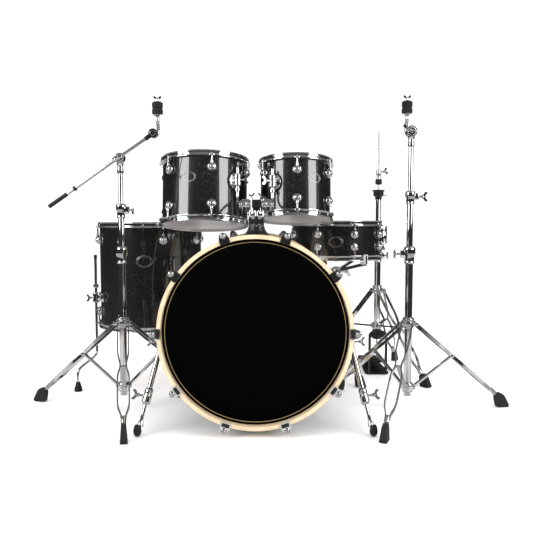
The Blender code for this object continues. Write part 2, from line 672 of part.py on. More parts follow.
# ---------------------------------------------------------------- assembly
def bottom_centre_at_origin():
    """Parents every object to one empty, moved so that the kit's box is centred on it."""
    bpy.context.view_layer.update()
    graph = bpy.context.evaluated_depsgraph_get()
    low = Vector((9.0, 9.0, 9.0))
    high = -low
    shown = [obj for obj in bpy.context.scene.objects if obj.type == "MESH"]
    for obj in shown:
        if obj.hide_render:
            continue
        ready = obj.evaluated_get(graph)
        for corner in ready.bound_box:
            point = ready.matrix_world @ Vector(corner)
            low = Vector(map(min, low, point))
            high = Vector(map(max, high, point))
    kit = bpy.data.objects.new("kit", None)
    bpy.context.scene.collection.objects.link(kit)
    for obj in shown:
        obj.parent = kit
    kit.location = (-(low.x + high.x) / 2, -(low.y + high.y) / 2, -low.z)


def clear_scene():
    for obj in list(bpy.data.objects):
        bpy.data.objects.remove(obj, do_unlink=True)


def main():
    clear_scene()
    bass_drum()
    spurs()
    tom_mount()
    rack_toms()
    floor_tom()
    snare_drum()
    snare_stand()
    hihat_stand()
    right_cymbal_stand()
    left_cymbal_stand()
    bottom_centre_at_origin()


main()
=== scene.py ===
"""Looks of the acoustic drum kit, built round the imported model.

Lengths are metres.
"""
import math

import bmesh
import bpy
from mathutils import Matrix, Vector


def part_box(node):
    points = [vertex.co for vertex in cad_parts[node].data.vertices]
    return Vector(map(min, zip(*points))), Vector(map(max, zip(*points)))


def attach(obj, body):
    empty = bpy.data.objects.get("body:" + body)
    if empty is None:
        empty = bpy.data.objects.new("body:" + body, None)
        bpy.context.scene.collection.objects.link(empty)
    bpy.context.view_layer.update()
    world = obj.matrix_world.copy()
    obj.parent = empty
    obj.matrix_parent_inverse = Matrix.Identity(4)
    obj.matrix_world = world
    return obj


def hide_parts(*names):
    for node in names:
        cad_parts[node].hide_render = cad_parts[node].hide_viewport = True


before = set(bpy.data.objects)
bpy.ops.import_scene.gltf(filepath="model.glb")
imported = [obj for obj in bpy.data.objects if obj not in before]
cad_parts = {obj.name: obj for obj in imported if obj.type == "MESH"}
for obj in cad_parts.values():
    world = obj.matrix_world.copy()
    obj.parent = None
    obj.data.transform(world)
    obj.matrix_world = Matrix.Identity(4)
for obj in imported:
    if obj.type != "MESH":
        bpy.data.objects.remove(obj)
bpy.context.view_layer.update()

X, Y, Z = Vector((1, 0, 0)), Vector((0, 1, 0)), Vector((0, 0, 1))


def box_of(node):
    low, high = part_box(node)
    return low - KIT, high - KIT


def kit_origin():
    low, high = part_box("bass_front_hoop")
    return Vector(((low.x + high.x) / 2, low.y, 0))


KIT = kit_origin()


# ---------------------------------------------------------------- materials
class Finish:
    """A Principled material with short ways to add procedural detail to it."""

    def __init__(self, name, colour, roughness, metallic=0.0, **sockets):
        self.material = bpy.data.materials.new(name)
        self.material.use_nodes = True
        self.nodes = self.material.node_tree.nodes
        self.links = self.material.node_tree.links
        self.shader = self.nodes["Principled BSDF"]
        self.set("Base Color", (*colour, 1.0))
        self.set("Roughness", roughness)
        self.set("Metallic", metallic)
        for socket, value in sockets.items():
            self.set(socket.replace("_", " "), value)
        self.place = self.nodes.new("ShaderNodeTexCoord").outputs["Object"]

    def set(self, socket, value):
        self.shader.inputs[socket].default_value = value

    def join(self, output, target):
        self.links.new(output, target)

    def stretched(self, scale):
        mapping = self.nodes.new("ShaderNodeMapping")
        mapping.inputs["Scale"].default_value = scale
        self.join(self.place, mapping.inputs["Vector"])
        return mapping.outputs["Vector"]

    def noise(self, scale, detail=3.0, vector=None):
        node = self.nodes.new("ShaderNodeTexNoise")
        node.inputs["Scale"].default_value = scale
        node.inputs["Detail"].default_value = detail
        self.join(vector or self.place, node.inputs["Vector"])
        return node.outputs["Fac"]

    def cells(self, scale):
        node = self.nodes.new("ShaderNodeTexVoronoi")
        node.inputs["Scale"].default_value = scale
        self.join(self.place, node.inputs["Vector"])
        return node

    def ramp(self, value, stops):
        node = self.nodes.new("ShaderNodeValToRGB")
        elements = node.color_ramp.elements
        while len(elements) < len(stops):
            elements.new(0.5)
        for element, (position, colour) in zip(elements, stops):
            element.position = position
            element.color = (*colour, 1.0)
        self.join(value, node.inputs["Fac"])
        return node.outputs["Color"]

    def between(self, value, low, high):
        node = self.nodes.new("ShaderNodeMapRange")
        node.inputs["To Min"].default_value = low
        node.inputs["To Max"].default_value = high
        self.join(value, node.inputs["Value"])
        return node.outputs["Result"]

    def colour_from(self, colour):
        self.join(colour, self.shader.inputs["Base Color"])

    def roughness_from(self, value, low, high):
        self.join(self.between(value, low, high), self.shader.inputs["Roughness"])

    def bump(self, value, strength, distance):
        node = self.nodes.new("ShaderNodeBump")
        node.inputs["Strength"].default_value = strength
        node.inputs["Distance"].default_value = distance
        self.join(value, node.inputs["Height"])
        self.join(node.outputs["Normal"], self.shader.inputs["Normal"])


def grey(value):
    return (value, value, value)


def sparkle_wrap():
    """Black laminate with fine silver flecks under a clear gloss coat."""
    made = Finish("sparkle_wrap", (0.006, 0.006, 0.0065), 0.3, Coat_Weight=1.0, Coat_Roughness=0.07,
                  Coat_IOR=1.8, Specular_IOR_Level=0.3)
    flecks = made.cells(620.0)
    made.colour_from(made.ramp(flecks.outputs["Color"], [
        (0.0, grey(0.003)), (0.84, grey(0.004)), (0.9, grey(0.03)), (0.95, grey(0.12)),
        (1.0, grey(0.3))]))
    made.bump(flecks.outputs["Distance"], 0.1, 0.0003)
    return made.material


def chrome():
    made = Finish("chrome", grey(0.8), 0.05, 1.0)
    made.roughness_from(made.noise(38.0), 0.025, 0.085)
    return made.material


def brushed_steel():
    """Snare wires and threads: a duller nickel finish."""
    made = Finish("brushed_steel", grey(0.62), 0.3, 1.0)
    made.roughness_from(made.noise(220.0, vector=made.stretched((1.0, 1.0, 9.0))), 0.22, 0.4)
    return made.material


def maple():
    made = Finish("maple_hoop", (0.78, 0.56, 0.34), 0.34, Coat_Weight=0.5, Coat_Roughness=0.12)
    along = made.noise(26.0, 6.0, made.stretched((1.0, 7.0, 1.0)))
    made.colour_from(made.ramp(along, [
        (0.2, (0.56, 0.42, 0.26)), (0.42, (0.66, 0.52, 0.335)), (0.58, (0.72, 0.58, 0.39)),
        (0.8, (0.6, 0.46, 0.29))]))
    made.bump(along, 0.06, 0.0004)
    return made.material


def film(name, colour, roughness, mottle, **sockets):
    """A drum head's plastic, faintly mottled and finely textured."""
    made = Finish(name, colour, roughness, **sockets)
    blotches = made.noise(9.0, 4.0)
    darker = tuple(channel * (1 - mottle) for channel in colour)
    made.colour_from(made.ramp(blotches, [(0.35, darker), (0.65, colour)]))
    made.bump(made.noise(900.0), 0.05, 0.0002)
    return made.material


def felt():
    made = Finish("felt", grey(0.012), 0.95, Sheen_Weight=0.05, Sheen_Roughness=0.6)
    fibres = made.noise(420.0, 5.0)
    made.colour_from(made.ramp(fibres, [(0.35, grey(0.002)), (0.7, grey(0.012))]))
    made.bump(fibres, 0.8, 0.0012)
    return made.material


def powder_coat():
    made = Finish("black_steel", grey(0.006), 0.35, Coat_Weight=0.25, Coat_Roughness=0.2)
    grain = made.noise(650.0, 2.0)
    made.roughness_from(grain, 0.26, 0.46)
    made.bump(grain, 0.18, 0.0003)
    return made.material


def rubber(name, shade):
    made = Finish(name, grey(shade), 0.62)
    grain = made.noise(480.0, 3.0)
    made.colour_from(made.ramp(grain, [(0.3, grey(shade * 0.7)), (0.7, grey(shade * 1.3))]))
    made.bump(grain, 0.25, 0.0004)
    return made.material


FINISHES = {
    "sparkle_wrap": sparkle_wrap(),
    "chrome": chrome(),
    "brushed_steel": brushed_steel(),
    "maple_hoop": maple(),
    "black_film": film("black_film", grey(0.0004), 0.16, 0.2, Specular_IOR_Level=0.06),
    # painted reflection: a gold-toned film that stands in for the maple hoop mirrored in the black
    # front head
    "painted_hoop_reflection": film("painted_hoop_reflection", (0.3, 0.22, 0.09), 0.35, 0.1),
    "smoke_film": film("smoke_film", (0.66, 0.585, 0.565), 0.28, 0.1, Subsurface_Weight=0.1),
    "coated_film": film("coated_film", (0.86, 0.85, 0.82), 0.55, 0.04),
    "felt": felt(),
    "black_steel": powder_coat(),
    "rubber": rubber("rubber", 0.01),
    "grey_rubber": rubber("grey_rubber", 0.6),
}


# ---------------------------------------------------------------- shapes
def at(origin, up=Z, right=None):
    """A matrix with its origin there, local +Z along up and local +X near right."""
    up = Vector(up).normalized()
    right = Vector(right) if right is not None else up.orthogonal()
    right = (right - up * right.dot(up)).normalized()
    turn = Matrix((right, up.cross(right), up)).transposed().to_4x4()
    return Matrix.Translation(origin) @ turn


def softened(points, radius, steps=4, closed=False):
    """The same path with its corners rounded, never past the middle of a side."""
    points = [Vector(p) for p in points]
    count = len(points)
    made = []
    for k, corner in enumerate(points):
        if not closed and k in (0, count - 1):
            made.append(corner)
            continue
        back, on = points[k - 1] - corner, points[(k + 1) % count] - corner
        cut = min(radius, back.length * 0.49, on.length * 0.49)
        start, end = corner + back.normalized() * cut, corner + on.normalized() * cut
        for i in range(steps + 1):
            t = i / steps
            made.append(start * (1 - t) ** 2 + corner * 2 * t * (1 - t) + end * t ** 2)
    return made


def settled(shape, matrix=None):
    """The shape moved by the matrix, with its faces turned outward."""
    if matrix is not None:
        shape.transform(matrix)
    bmesh.ops.recalc_face_normals(shape, faces=shape.faces[:])
    return shape


def lathe(profile, matrix=None, sides=32, soft=0.0, oval=1.0):
    """A solid of revolution from (radius, height) pairs, open only on its own axis.

    soft rounds the profile's corners and oval stretches the shape along local Y.
    """
    ring = profile[0][0] > 1e-9
    if soft:
        profile = softened([Vector(p) for p in profile], soft, 3, closed=ring)
    shape = bmesh.new()
    rows = []
    for radius, height in profile:
        if radius < 1e-9:
            rows.append([shape.verts.new((0, 0, height))] * sides)
            continue
        turn = [2 * math.pi * i / sides for i in range(sides)]
        rows.append([shape.verts.new((radius * math.cos(a), radius * oval * math.sin(a), height))
                     for a in turn])
    for k in range(len(rows) if ring else len(rows) - 1):
        low, high = rows[k], rows[(k + 1) % len(rows)]
        for i in range(sides):
            j = (i + 1) % sides
            corners = list(dict.fromkeys((low[i], low[j], high[j], high[i])))
            if len(corners) > 2:
                shape.faces.new(corners)
    return settled(shape, matrix)


def sweep(section, path, closed=False, across=None):
    """A 2-D section carried along a path; across is where its first axis points."""
    path = [Vector(p) for p in path]
    shape = bmesh.new()
    rows = []
    side = Vector(across) if across is not None else None
    count = len(path)
    for k, point in enumerate(path):
        before = path[k - 1] if (k or closed) else None
        after = path[(k + 1) % count] if (k < count - 1 or closed) else None
        along = ((after - point).normalized() if after is not None else Vector()) + \
            ((point - before).normalized() if before is not None else Vector())
        along.normalize()
        side = along.orthogonal() if side is None else side
        side = (side - along * side.dot(along)).normalized()
        up = along.cross(side)
        rows.append([shape.verts.new(point + side * a + up * b) for a, b in section])
    size = len(section)
    for k in range(count if closed else count - 1):
        low, high = rows[k], rows[(k + 1) % count]
        for i in range(size):
            j = (i + 1) % size
            shape.faces.new((low[i], low[j], high[j], high[i]))
    if not closed:
        shape.faces.new(rows[0][::-1])
        shape.faces.new(rows[-1])
    return settled(shape)


def pipe(path, radius, sides, closed=False):
    """A round bar along a path."""
    turns = [2 * math.pi * i / sides for i in range(sides)]
    return sweep([(radius * math.cos(a), radius * math.sin(a)) for a in turns], path, closed)


def mirrored(points, axis=0):
    """The points and then, in reverse, their images across that axis: a closed outline."""
    signs = [-1 if k == axis else 1 for k in range(3)]
    return points + [tuple(a * sign for a, sign in zip(p, signs)) for p in reversed(points)]


def washer(inner, outer, low, high, matrix, sides=28, soft=0.0008):
    """A collar of that bore, or a disc when inner is 0."""
    return lathe([(inner, low), (outer, low), (outer, high), (inner, high)], matrix, sides, soft)


def rod(start, end, radius, far=None, sides=20, edge=0.0007):
    """A round bar with eased ends, tapered when far is given."""
    start, end = Vector(start), Vector(end)
    length = (end - start).length
    far = radius if far is None else far
    profile = [(0, 0), (radius, 0), (far, length), (0, length)]
    return lathe(profile, at(start, end - start), sides, min(edge, length / 3))


def bevel(shape, edges, width):
    bmesh.ops.bevel(shape, geom=edges, offset=width, segments=2, profile=0.5, affect="EDGES",
                    clamp_overlap=True)


def block(centre, size, matrix=None, edge=0.0015):
    """A box with eased edges."""
    shape = bmesh.new()
    bmesh.ops.create_cube(shape, size=1.0)
    shape.transform(Matrix.Translation(centre) @ Matrix.Diagonal((*size, 1.0)))
    bevel(shape, shape.edges[:], edge)
    return settled(shape, matrix)


def plate(outline, thickness, matrix=None, edge=0.0008):
    """A flat outline in local XY given thickness about its middle, with eased edges."""
    shape = bmesh.new()
    low = [shape.verts.new((x, y, -thickness / 2)) for x, y in outline]
    high = [shape.verts.new((x, y, thickness / 2)) for x, y in outline]
    shape.faces.new(low[::-1])
    shape.faces.new(high)
    for i in range(len(low)):
        j = (i + 1) % len(low)
        shape.faces.new((low[i], low[j], high[j], high[i]))
    rims = [e for e in shape.edges if len(e.link_faces) == 2 and e.calc_face_angle() > 1.2
            and abs(e.verts[0].co.z - e.verts[1].co.z) < 1e-7]
    bevel(shape, rims, edge)
    return settled(shape, matrix)


def tapered(shape, tall, share, matrix):
    """The shape narrowed across local Y, to that share of its width at height tall."""
    for vertex in shape.verts:
        vertex.co.y *= 1 - (1 - share) * min(max(vertex.co.z / tall, 0), 1)
    return settled(shape, matrix)


def bar(start, end, width, height, across, edge):
    """A square bar from start to end, its width along across."""
    start, end = Vector(start), Vector(end)
    return block((0, 0, 0), (width, height, (end - start).length),
                 at((start + end) / 2, end - start, across), edge)


def piece(name, body, finish, shapes, stands_for=()):
    """One object from the shapes, riding on the body and standing for the CAD nodes."""
    mesh = bpy.data.meshes.new(name)
    joined = bmesh.new()
    for shape in shapes:
        part = bpy.data.meshes.new("part")
        shape.to_mesh(part)
        shape.free()
        joined.from_mesh(part)
        bpy.data.meshes.remove(part)
    joined.normal_update()
    joined.to_mesh(mesh)
    joined.free()
    mesh.shade_smooth()
    mesh.set_sharp_from_angle(angle=math.radians(38))
    mesh.materials.append(FINISHES[finish])
    made = bpy.data.objects.new(name, mesh)
    made.location = KIT
    bpy.context.scene.collection.objects.link(made)
    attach(made, body)
    if stands_for:
        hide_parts(*stands_for)
    return made


# ---------------------------------------------------------------- small fittings
def wing(matrix, size=1.0):
    """A wing nut's blade in local XZ, its hub at the origin and its tips along +Z."""
    outline = mirrored([(-0.0045, -0.003), (-0.006, 0.004), (-0.015, 0.0085),
                        (-0.017, 0.0165), (-0.011, 0.0185), (-0.005, 0.011)])
    outline = softened([Vector(p) * size for p in outline], 0.003 * size, 3, closed=True)
    upright = matrix @ Matrix.Rotation(math.pi / 2, 4, "X")
    hub = [(0, -0.004), (0.006, -0.004), (0.0048, 0.006), (0, 0.006)]
    return [plate(outline, 0.0036 * size, upright),
            lathe([(r * size, h * size) for r, h in hub], matrix, 16, 0.001)]


def wing_bolt(start, out, length, right, size):
    """A screw from start along out, ending in a wing blade that spreads along right."""
    start, out = Vector(start), Vector(out).normalized()
    end = start + out * length
    return [rod(start, end, 0.0032 * size), *wing(at(end, out, right), size)]


def t_handle(start, out, length, right, half):
    """A screw from start along out with a slim bar across its end."""
    start, out, right = Vector(start), Vector(out).normalized(), Vector(right).normalized()
    end = start + out * length
    return [rod(start, end, 0.0034),
            rod(end - right * half, end + right * half, 0.0034, edge=0.002),
            rod(end - out * 0.006, end + out * 0.0035, 0.0056, edge=0.0015)]


def key_head(matrix):
    """The washer and square head of a tension rod, sitting on local z = 0."""
    return [washer(0, 0.0062, 0, 0.0016, matrix, 18, 0.0004),
            block((0, 0, 0.005), (0.0056, 0.0056, 0.007), matrix, 0.0008)]


def ratchet(matrix, radius, depth):
    """A round tilter half: a rim, a sunk ring and a raised centre, facing local +Z."""
    profile = [(0, depth), (radius * 0.3, depth), (radius * 0.36, depth * 0.8),
               (radius * 0.66, depth * 0.8), (radius * 0.74, depth), (radius * 0.94, depth),
               (radius, depth * 0.86), (radius, 0), (0, 0)]
    return lathe(profile[::-1], matrix, 40, 0.0006)


# ---------------------------------------------------------------- drums
LUG_RADIUS, LUG_ROD_OUT, TENSION_ROD = 0.0168, 0.0098, 0.003
HOOP_TOP, HOOP_LIP = 0.008, -0.0135
FILM_OUT, FILM_TOP, FILM_UNDER = 0.0035, 0.0013, 0.0003
SHELL_WALL = 0.0075
ROUND_SIDES, BASS_SIDES, BADGE_POINTS = 96, 128, 44

DRUMS = {
    # prefix: body, tilt of the axis, lugs, first lug, lug inset, badge azimuth and height,
    # badge width and height. Azimuths are degrees from the audience side towards +X.
    "left_tom": ("left_tom", -8.0, 6, 14.0, 0.0505, -15.0, 0.03, 0.044, 0.036),
    "right_tom": ("right_tom", -8.0, 6, 0.0, 0.052, 29.0, 0.024, 0.048, 0.036),
    "floor_tom": ("root", 0.0, 8, 23.0, 0.062, 3.0, 0.062, 0.061, 0.044),
    "snare": ("snare", 0.0, 8, -28.5, 0.0454, -6.5, -0.004, 0.055, 0.04),
}


def heading(degrees):
    """The level unit vector at that azimuth, 0 along +X and 90 along +Y."""
    return Vector((math.cos(math.radians(degrees)), math.sin(math.radians(degrees)), 0))


def facing(degrees):
    """The horizontal direction at that azimuth from the audience side towards +X."""
    return Vector((math.sin(math.radians(degrees)), -math.cos(math.radians(degrees)), 0))


def drum_place(prefix):
    """(matrix, radius, depth) of a drum's shell, worked out from its CAD node's box."""
    low, high = box_of(f"{prefix}_shell")
    tilt = math.radians(DRUMS[prefix][1])
    radius = (high.x - low.x) / 2
    depth = (high.z - low.z - 2 * radius * abs(math.sin(tilt))) / math.cos(tilt)
    return Matrix.Translation((low + high) / 2) @ Matrix.Rotation(tilt, 4, "X"), radius, depth


def lug_shape():
    """A round dome lug; local +Z points out of the shell and +Y at the hoop it serves."""
    dome = [(0, 0.0195), (0.004, 0.0192), (0.0068, 0.0178), (0.0078, 0.016), (0.01, 0.0158),
            (0.0135, 0.0132), (0.0158, 0.009), (LUG_RADIUS, 0.0045), (LUG_RADIUS, 0.001),
            (0, 0.001)]
    reach = at((0, 0.002, LUG_ROD_OUT), Y)
    stem = [(0, 0), (0.0056, 0), (0.0056, 0.017), (0.0044, 0.0185), (0.0044, 0.0215),
            (0, 0.0215)]
    return [lathe(dome[::-1], None, 36), lathe(stem, reach, 18, 0.0006)]


def add_lug(axis, out, radius, height, domes, gaskets):
    """Adds a lug and its gasket, on the side that out points to, at that height."""
    place = axis @ at(out * radius + Z * height, out, Z) @ Matrix.Rotation(-math.pi / 2, 4, "Z")
    domes += moved(lug_shape(), place)
    gaskets.append(washer(0, 0.0176, -0.0005, 0.0014, place, 32, 0.0005))


def hoop_shape(radius, matrix):
    """A triple-flanged hoop round an edge at local z = 0, its rolled top upward."""
    inner = radius + FILM_OUT + 0.0003
    profile = [(inner, HOOP_LIP + 0.003), (inner, HOOP_TOP - 0.0015), (inner + 0.0012, HOOP_TOP),
               (inner + 0.0048, HOOP_TOP - 0.0004), (inner + 0.005, HOOP_TOP - 0.0024),
               (inner + 0.0026, HOOP_TOP - 0.0036), (inner + 0.0024, HOOP_LIP + 0.0062),
               (inner + 0.0072, HOOP_LIP + 0.0046), (inner + 0.0086, HOOP_LIP + 0.0024),
               (inner + 0.0084, HOOP_LIP), (inner + 0.007, HOOP_LIP + 0.0022),
               (inner + 0.002, HOOP_LIP + 0.0034)]
    return lathe(profile, matrix, ROUND_SIDES, 0.0008)


def ear_shape():
    """A hoop's ear where a tension rod goes through; +X is outward and +Z up."""
    outline = softened([(-0.004, -0.012), (0.005, -0.0095), (0.0068, 0), (0.005, 0.0095),
                        (-0.004, 0.012)], 0.004, 4, closed=True)
    return plate(outline, 0.0028)


def head_shape(radius, matrix):
    """A drum head over an edge at local z = 0: film, collar and flesh hoop."""
    profile = [(0, FILM_TOP), (radius - 0.012, FILM_TOP), (radius - 0.004, 0.0011),
               (radius + 0.0012, 0.0002), (radius + FILM_OUT, -0.004),
               (radius + FILM_OUT, -0.0086), (radius + 0.0003, -0.0086), (radius + 0.0003, -0.001),
               (radius - 0.006, FILM_UNDER), (0, FILM_UNDER)]
    return lathe(profile, matrix, ROUND_SIDES)


def shell_shape(radius, half, matrix, sides=ROUND_SIDES):
    """A shell with bearing edges, centred on local z = 0."""
    inner = radius - SHELL_WALL
    profile = [(radius, half - 0.001), (radius, -half + 0.001), (radius - 0.0012, -half),
               (inner, -half + 0.004), (inner, half - 0.004), (radius - 0.0012, half)]
    return lathe(profile, matrix, sides)


def badge(prefix, body, matrix, radius, azimuth, height, width, tall):
    """A plain oval badge: a raised rim and an inner line that follow the shell."""
    def loop(scale, lift):
        points = []
        for i in range(BADGE_POINTS):
            turn = 2 * math.pi * i / BADGE_POINTS
            angle = azimuth + math.degrees(math.cos(turn) * scale * width / 2 / radius)
            points.append(matrix @ (facing(angle) * (radius + lift)
                                    + Z * (height + math.sin(turn) * scale * tall / 2)))
        return points
    piece(f"{prefix}_badge", body, "brushed_steel",
          [pipe(loop(1.0, 0.0001), 0.0006, 8, True), pipe(loop(0.8, 0.0), 0.0004, 8, True)])


def dress_drum(prefix):
    body, _, lugs, first, inset, badge_at, badge_height, badge_width, badge_tall = DRUMS[prefix]
    matrix, radius, depth = drum_place(prefix)
    half = depth / 2
    piece(f"{prefix}_shell_wrap", body, "sparkle_wrap", [shell_shape(radius, half, matrix)],
          [f"{prefix}_shell"])
    ends = {"batter": matrix, "reso": matrix @ Matrix.Rotation(math.pi, 4, "X")}
    for end, turned in ends.items():
        film_name = "coated_film" if end == "batter" else "smoke_film"
        edge = turned @ Matrix.Translation((0, 0, half))
        piece(f"{prefix}_{end}_film", body, film_name, [head_shape(radius, edge)],
              [f"{prefix}_{end}_head"])
        fittings, ears, domes, gaskets = [], [], [], []
        lug_z, lip = half - inset, half + HOOP_LIP + 0.0035
        for k in range(lugs):
            out = facing(first + 360 / lugs * k)
            out.y *= 1 if end == "batter" else -1
            add_lug(turned, out, radius, lug_z, domes, gaskets)
            rod_at = out * (radius + LUG_ROD_OUT)
            domes.append(settled(rod(rod_at + Z * (lug_z + 0.012), rod_at + Z * (lip + 0.002),
                                     TENSION_ROD, sides=14), turned))
            fittings += moved(key_head(None), turned @ Matrix.Translation(rod_at + Z * lip))
            ears.append(settled(ear_shape(), turned @ at(rod_at + Z * (lip - 0.0008), Z, out)))
        piece(f"{prefix}_{end}_rim", body, "chrome", [hoop_shape(radius, edge), *ears, *fittings],
              [f"{prefix}_{end}_hoop"])
        piece(f"{prefix}_{end}_lugs", body, "chrome", domes)
        piece(f"{prefix}_{end}_lug_gaskets", body, "rubber", gaskets)
    badge(prefix, body, matrix, radius, badge_at, badge_height, badge_width, badge_tall)
    return matrix, radius, half


def moved(shapes, matrix):
    """The shapes, moved by the matrix."""
    for shape in shapes:
        shape.transform(matrix)
    return shapes


# ---------------------------------------------------------------- bass drum
BASS_LUGS = 10
CLAW_WIDTH = 0.031
SPUR_X, SPUR_Y, SPUR_Z = 0.2985, 0.12, 0.272


def bass_drum():
    low, high = box_of("bass_front_hoop")
    hoop_radius, hoop_depth = (high.x - low.x) / 2, high.y - low.y
    centre_z = (low.z + high.z) / 2
    head_low, head_high = box_of("bass_batter_head")
    radius = (head_high.x - head_low.x) / 2 - FILM_OUT
    front_edge = box_of("bass_front_head")[0].y + FILM_TOP
    back_edge = head_high.y - FILM_TOP
    middle = Vector((0, (front_edge + back_edge) / 2, centre_z))
    half = (back_edge - front_edge) / 2
    bosses = [rod((side * (radius - 0.004), SPUR_Y, SPUR_Z),
                  (side * (radius + 0.006), SPUR_Y, SPUR_Z), 0.024, 0.023, 32, 0.001)
              for side in (-1, 1)]
    piece("bass_shell_wrap", "root", "sparkle_wrap",
          [shell_shape(radius, half, at(middle, -Y, X), BASS_SIDES), *bosses], ["bass_shell"])
    for end, sign in (("front", -1), ("batter", 1)):
        axis = at(middle, Y * sign, X)
        edge = axis @ Matrix.Translation((0, 0, half))
        film_name = "black_film" if end == "front" else "coated_film"
        piece(f"bass_{end}_film", "root", film_name, [bass_head(radius, edge)],
              [f"bass_{end}_head"])
        rim = abs(low.y - front_edge)
        inner = radius + FILM_OUT + 0.0003
        ring = [(hoop_radius, rim), (hoop_radius, rim - hoop_depth), (inner, rim - hoop_depth),
                (inner, rim)]
        piece(f"bass_{end}_wood_hoop", "root", "maple_hoop", [lathe(ring, edge, 144, 0.0022)],
              [f"bass_{end}_hoop"])
        claws, faces, pads, domes, gaskets = [], [], [], [], []
        for k in range(BASS_LUGS):
            out = facing(360 / BASS_LUGS * (k + 0.5))
            out.y *= sign
            claw_at = edge @ at(out * hoop_radius + Z * rim, out, Z)
            for shapes, made in ((claws, claw_shapes), (faces, claw_face), (pads, claw_pad)):
                shapes += moved(made(hoop_radius - inner), claw_at)
            add_lug(axis, out, radius, half - 0.088, domes, gaskets)
            start = out * (radius + LUG_ROD_OUT) + Z * (half - 0.072)
            end_at = out * (hoop_radius + 0.011) + Z * (half + rim - 0.02)
            domes.append(settled(rod(start, end_at, TENSION_ROD, sides=14), axis))
        for what, finish, shapes in (
                ("claws", "chrome", claws), ("claw_faces", "black_steel", faces),
                ("claw_pads", "rubber", pads), ("lugs", "chrome", domes),
                ("lug_gaskets", "rubber", gaskets)):
            piece(f"bass_{end}_{what}", "root", finish, shapes)
    # A painted reflection: a thin gold ring on the front head's collar, just inside the hoop,
    # stands in for the maple hoop mirrored in the glossy black film.
    line = [(radius - 0.0052, 0.0018), (radius - 0.0052, 0.0031), (radius - 0.007, 0.003),
            (radius - 0.007, 0.0018)]
    piece("bass_front_painted_hoop_reflection", "root", "painted_hoop_reflection",
          [lathe(line, at(middle, -Y, X) @ Matrix.Translation((0, 0, half)), BASS_SIDES)])


def bass_head(radius, edge):
    """A bass drum head with a raised collar, over an edge at local z = 0."""
    profile = [(0, FILM_TOP), (radius - 0.016, FILM_TOP), (radius - 0.01, 0.0022),
               (radius - 0.002, 0.0026), (radius + FILM_OUT - 0.0006, -0.0005),
               (radius + FILM_OUT, -0.0086), (radius + 0.0003, -0.0086), (radius + 0.0003, -0.0003),
               (radius - 0.006, FILM_UNDER), (0, FILM_UNDER)]
    return lathe(profile, edge, BASS_SIDES)


def claw_shapes(thickness):
    """A claw over the hoop: +Z is radially out from the hoop's outside, +X its open face."""
    half = CLAW_WIDTH / 2
    face = softened(mirrored([(half, -thickness - 0.002), (half, 0.003), (half * 0.55, 0.019)]),
                    0.0045, 4, closed=True)
    front = plate(face, 0.003, at((0.0032, 0, 0), X, Y), 0.0012)
    top = block((-0.012, 0, 0.003), (0.029, CLAW_WIDTH * 0.86, 0.003), None, 0.0012)
    cheek = softened([(0.004, 0.002), (-0.024, 0.002), (-0.02, 0.01), (0.004, 0.017)],
                     0.003, 3, closed=True)
    cheeks = [plate([(p[0], p[1]) for p in cheek], 0.0024, at((0, side * half * 0.62, 0), Y, X)
                    @ Matrix.Scale(-1, 4, Y), 0.0006) for side in (-1, 1)]
    ear = [(0, -0.012), (0.009, -0.012), (0.0098, -0.002), (0.0094, 0.003), (0.0066, 0.0062),
           (0.0034, 0.0072), (0.003, 0.0105), (0, 0.011)]
    return [front, top, *cheeks, lathe(ear, at((0.003, 0, 0.0118), X, Y), 28, 0.0008)]


def claw_face(thickness):
    """The dark inlay of a claw's face, inside its bright edge."""
    half = CLAW_WIDTH / 2 - 0.0034
    outline = softened(mirrored([(half, -thickness + 0.0014), (half, 0.0006)]), 0.003, 4,
                       closed=True)
    return [plate(outline, 0.001, at((0.0049, 0, 0), X, Y), 0.0003)]


def claw_pad(thickness):
    """The pads between a claw and the hoop."""
    half = CLAW_WIDTH / 2 - 0.001
    return [block((0.0008, 0, -thickness / 2), (0.0014, 2 * half, thickness), None, 0.0004),
            block((-0.0135, 0, 0.0007), (0.028, 2 * half, 0.0014), None, 0.0004)]


# ---------------------------------------------------------------- spurs
def spurs():
    for side, name in ((-1, "left_spur"), (1, "right_spur")):
        low, high = box_of(name)
        pivot = Vector((side * SPUR_X, SPUR_Y, SPUR_Z))
        foot = Vector(((low.x if side < 0 else high.x) - side * 0.012, low.y + 0.012, 0))
        along = (foot - pivot).normalized()
        split = pivot.lerp(foot, 0.6)
        neck = foot - along * 0.048
        out = Vector((side, 0, 0))
        shapes = [
            rod(pivot - along * 0.014, split, 0.0085, sides=28),
            lathe([(0, -0.0127), (0.0215, -0.0127), (0.0215, 0.0035), (0.0165, 0.006),
                   (0.015, 0.012), (0, 0.012)], at(pivot, out), 36, 0.0012),
            lathe([(0.0086, -0.03), (0.0128, -0.024), (0.0135, -0.016), (0.0122, -0.012),
                   (0.014, -0.004), (0.014, 0.014), (0.011, 0.02), (0.006, 0.022), (0, 0.022),
                   (0, -0.03)][::-1], at(split, along), 32, 0.0008),
            rod(split, neck, 0.0052, sides=20),
            lathe([(0, 0), (0.0062, 0), (0.0098, 0.014), (0.0098, 0.018), (0, 0.018)],
                  at(neck, along), 28, 0.0008),
            rod(foot + Z * 0.0002, foot + Z * 0.01, 0.0012, 0.0032, 16, 0.0002),
            *wing_bolt(pivot + out * 0.01, out, 0.02, along, 0.9),
            *wing_bolt(split - along * 0.004, out + Z * 0.15, 0.03, along, 1.0),
        ]
        piece(f"{name}_leg", name, "chrome", shapes, [name])
        ball = [(0, 0), (0.005, 0), (0.011, 0.006), (0.0126, 0.015), (0.011, 0.026),
                (0.0078, 0.034), (0, 0.034)]
        lean = at(foot + Z * 0.001, (neck - foot).lerp(Z, 0.35), X)
        piece(f"{name}_tip", name, "rubber", [lathe(ball, lean, 28)])


# ---------------------------------------------------------------- tom mount and arms
MOUNT_Y, TILTER_Z = 0.2, 0.705
TILTER_INNER, TILTER_OUTER, TILTER_RADIUS = 0.0235, 0.056, 0.0195
ARM_OUT = 0.0205


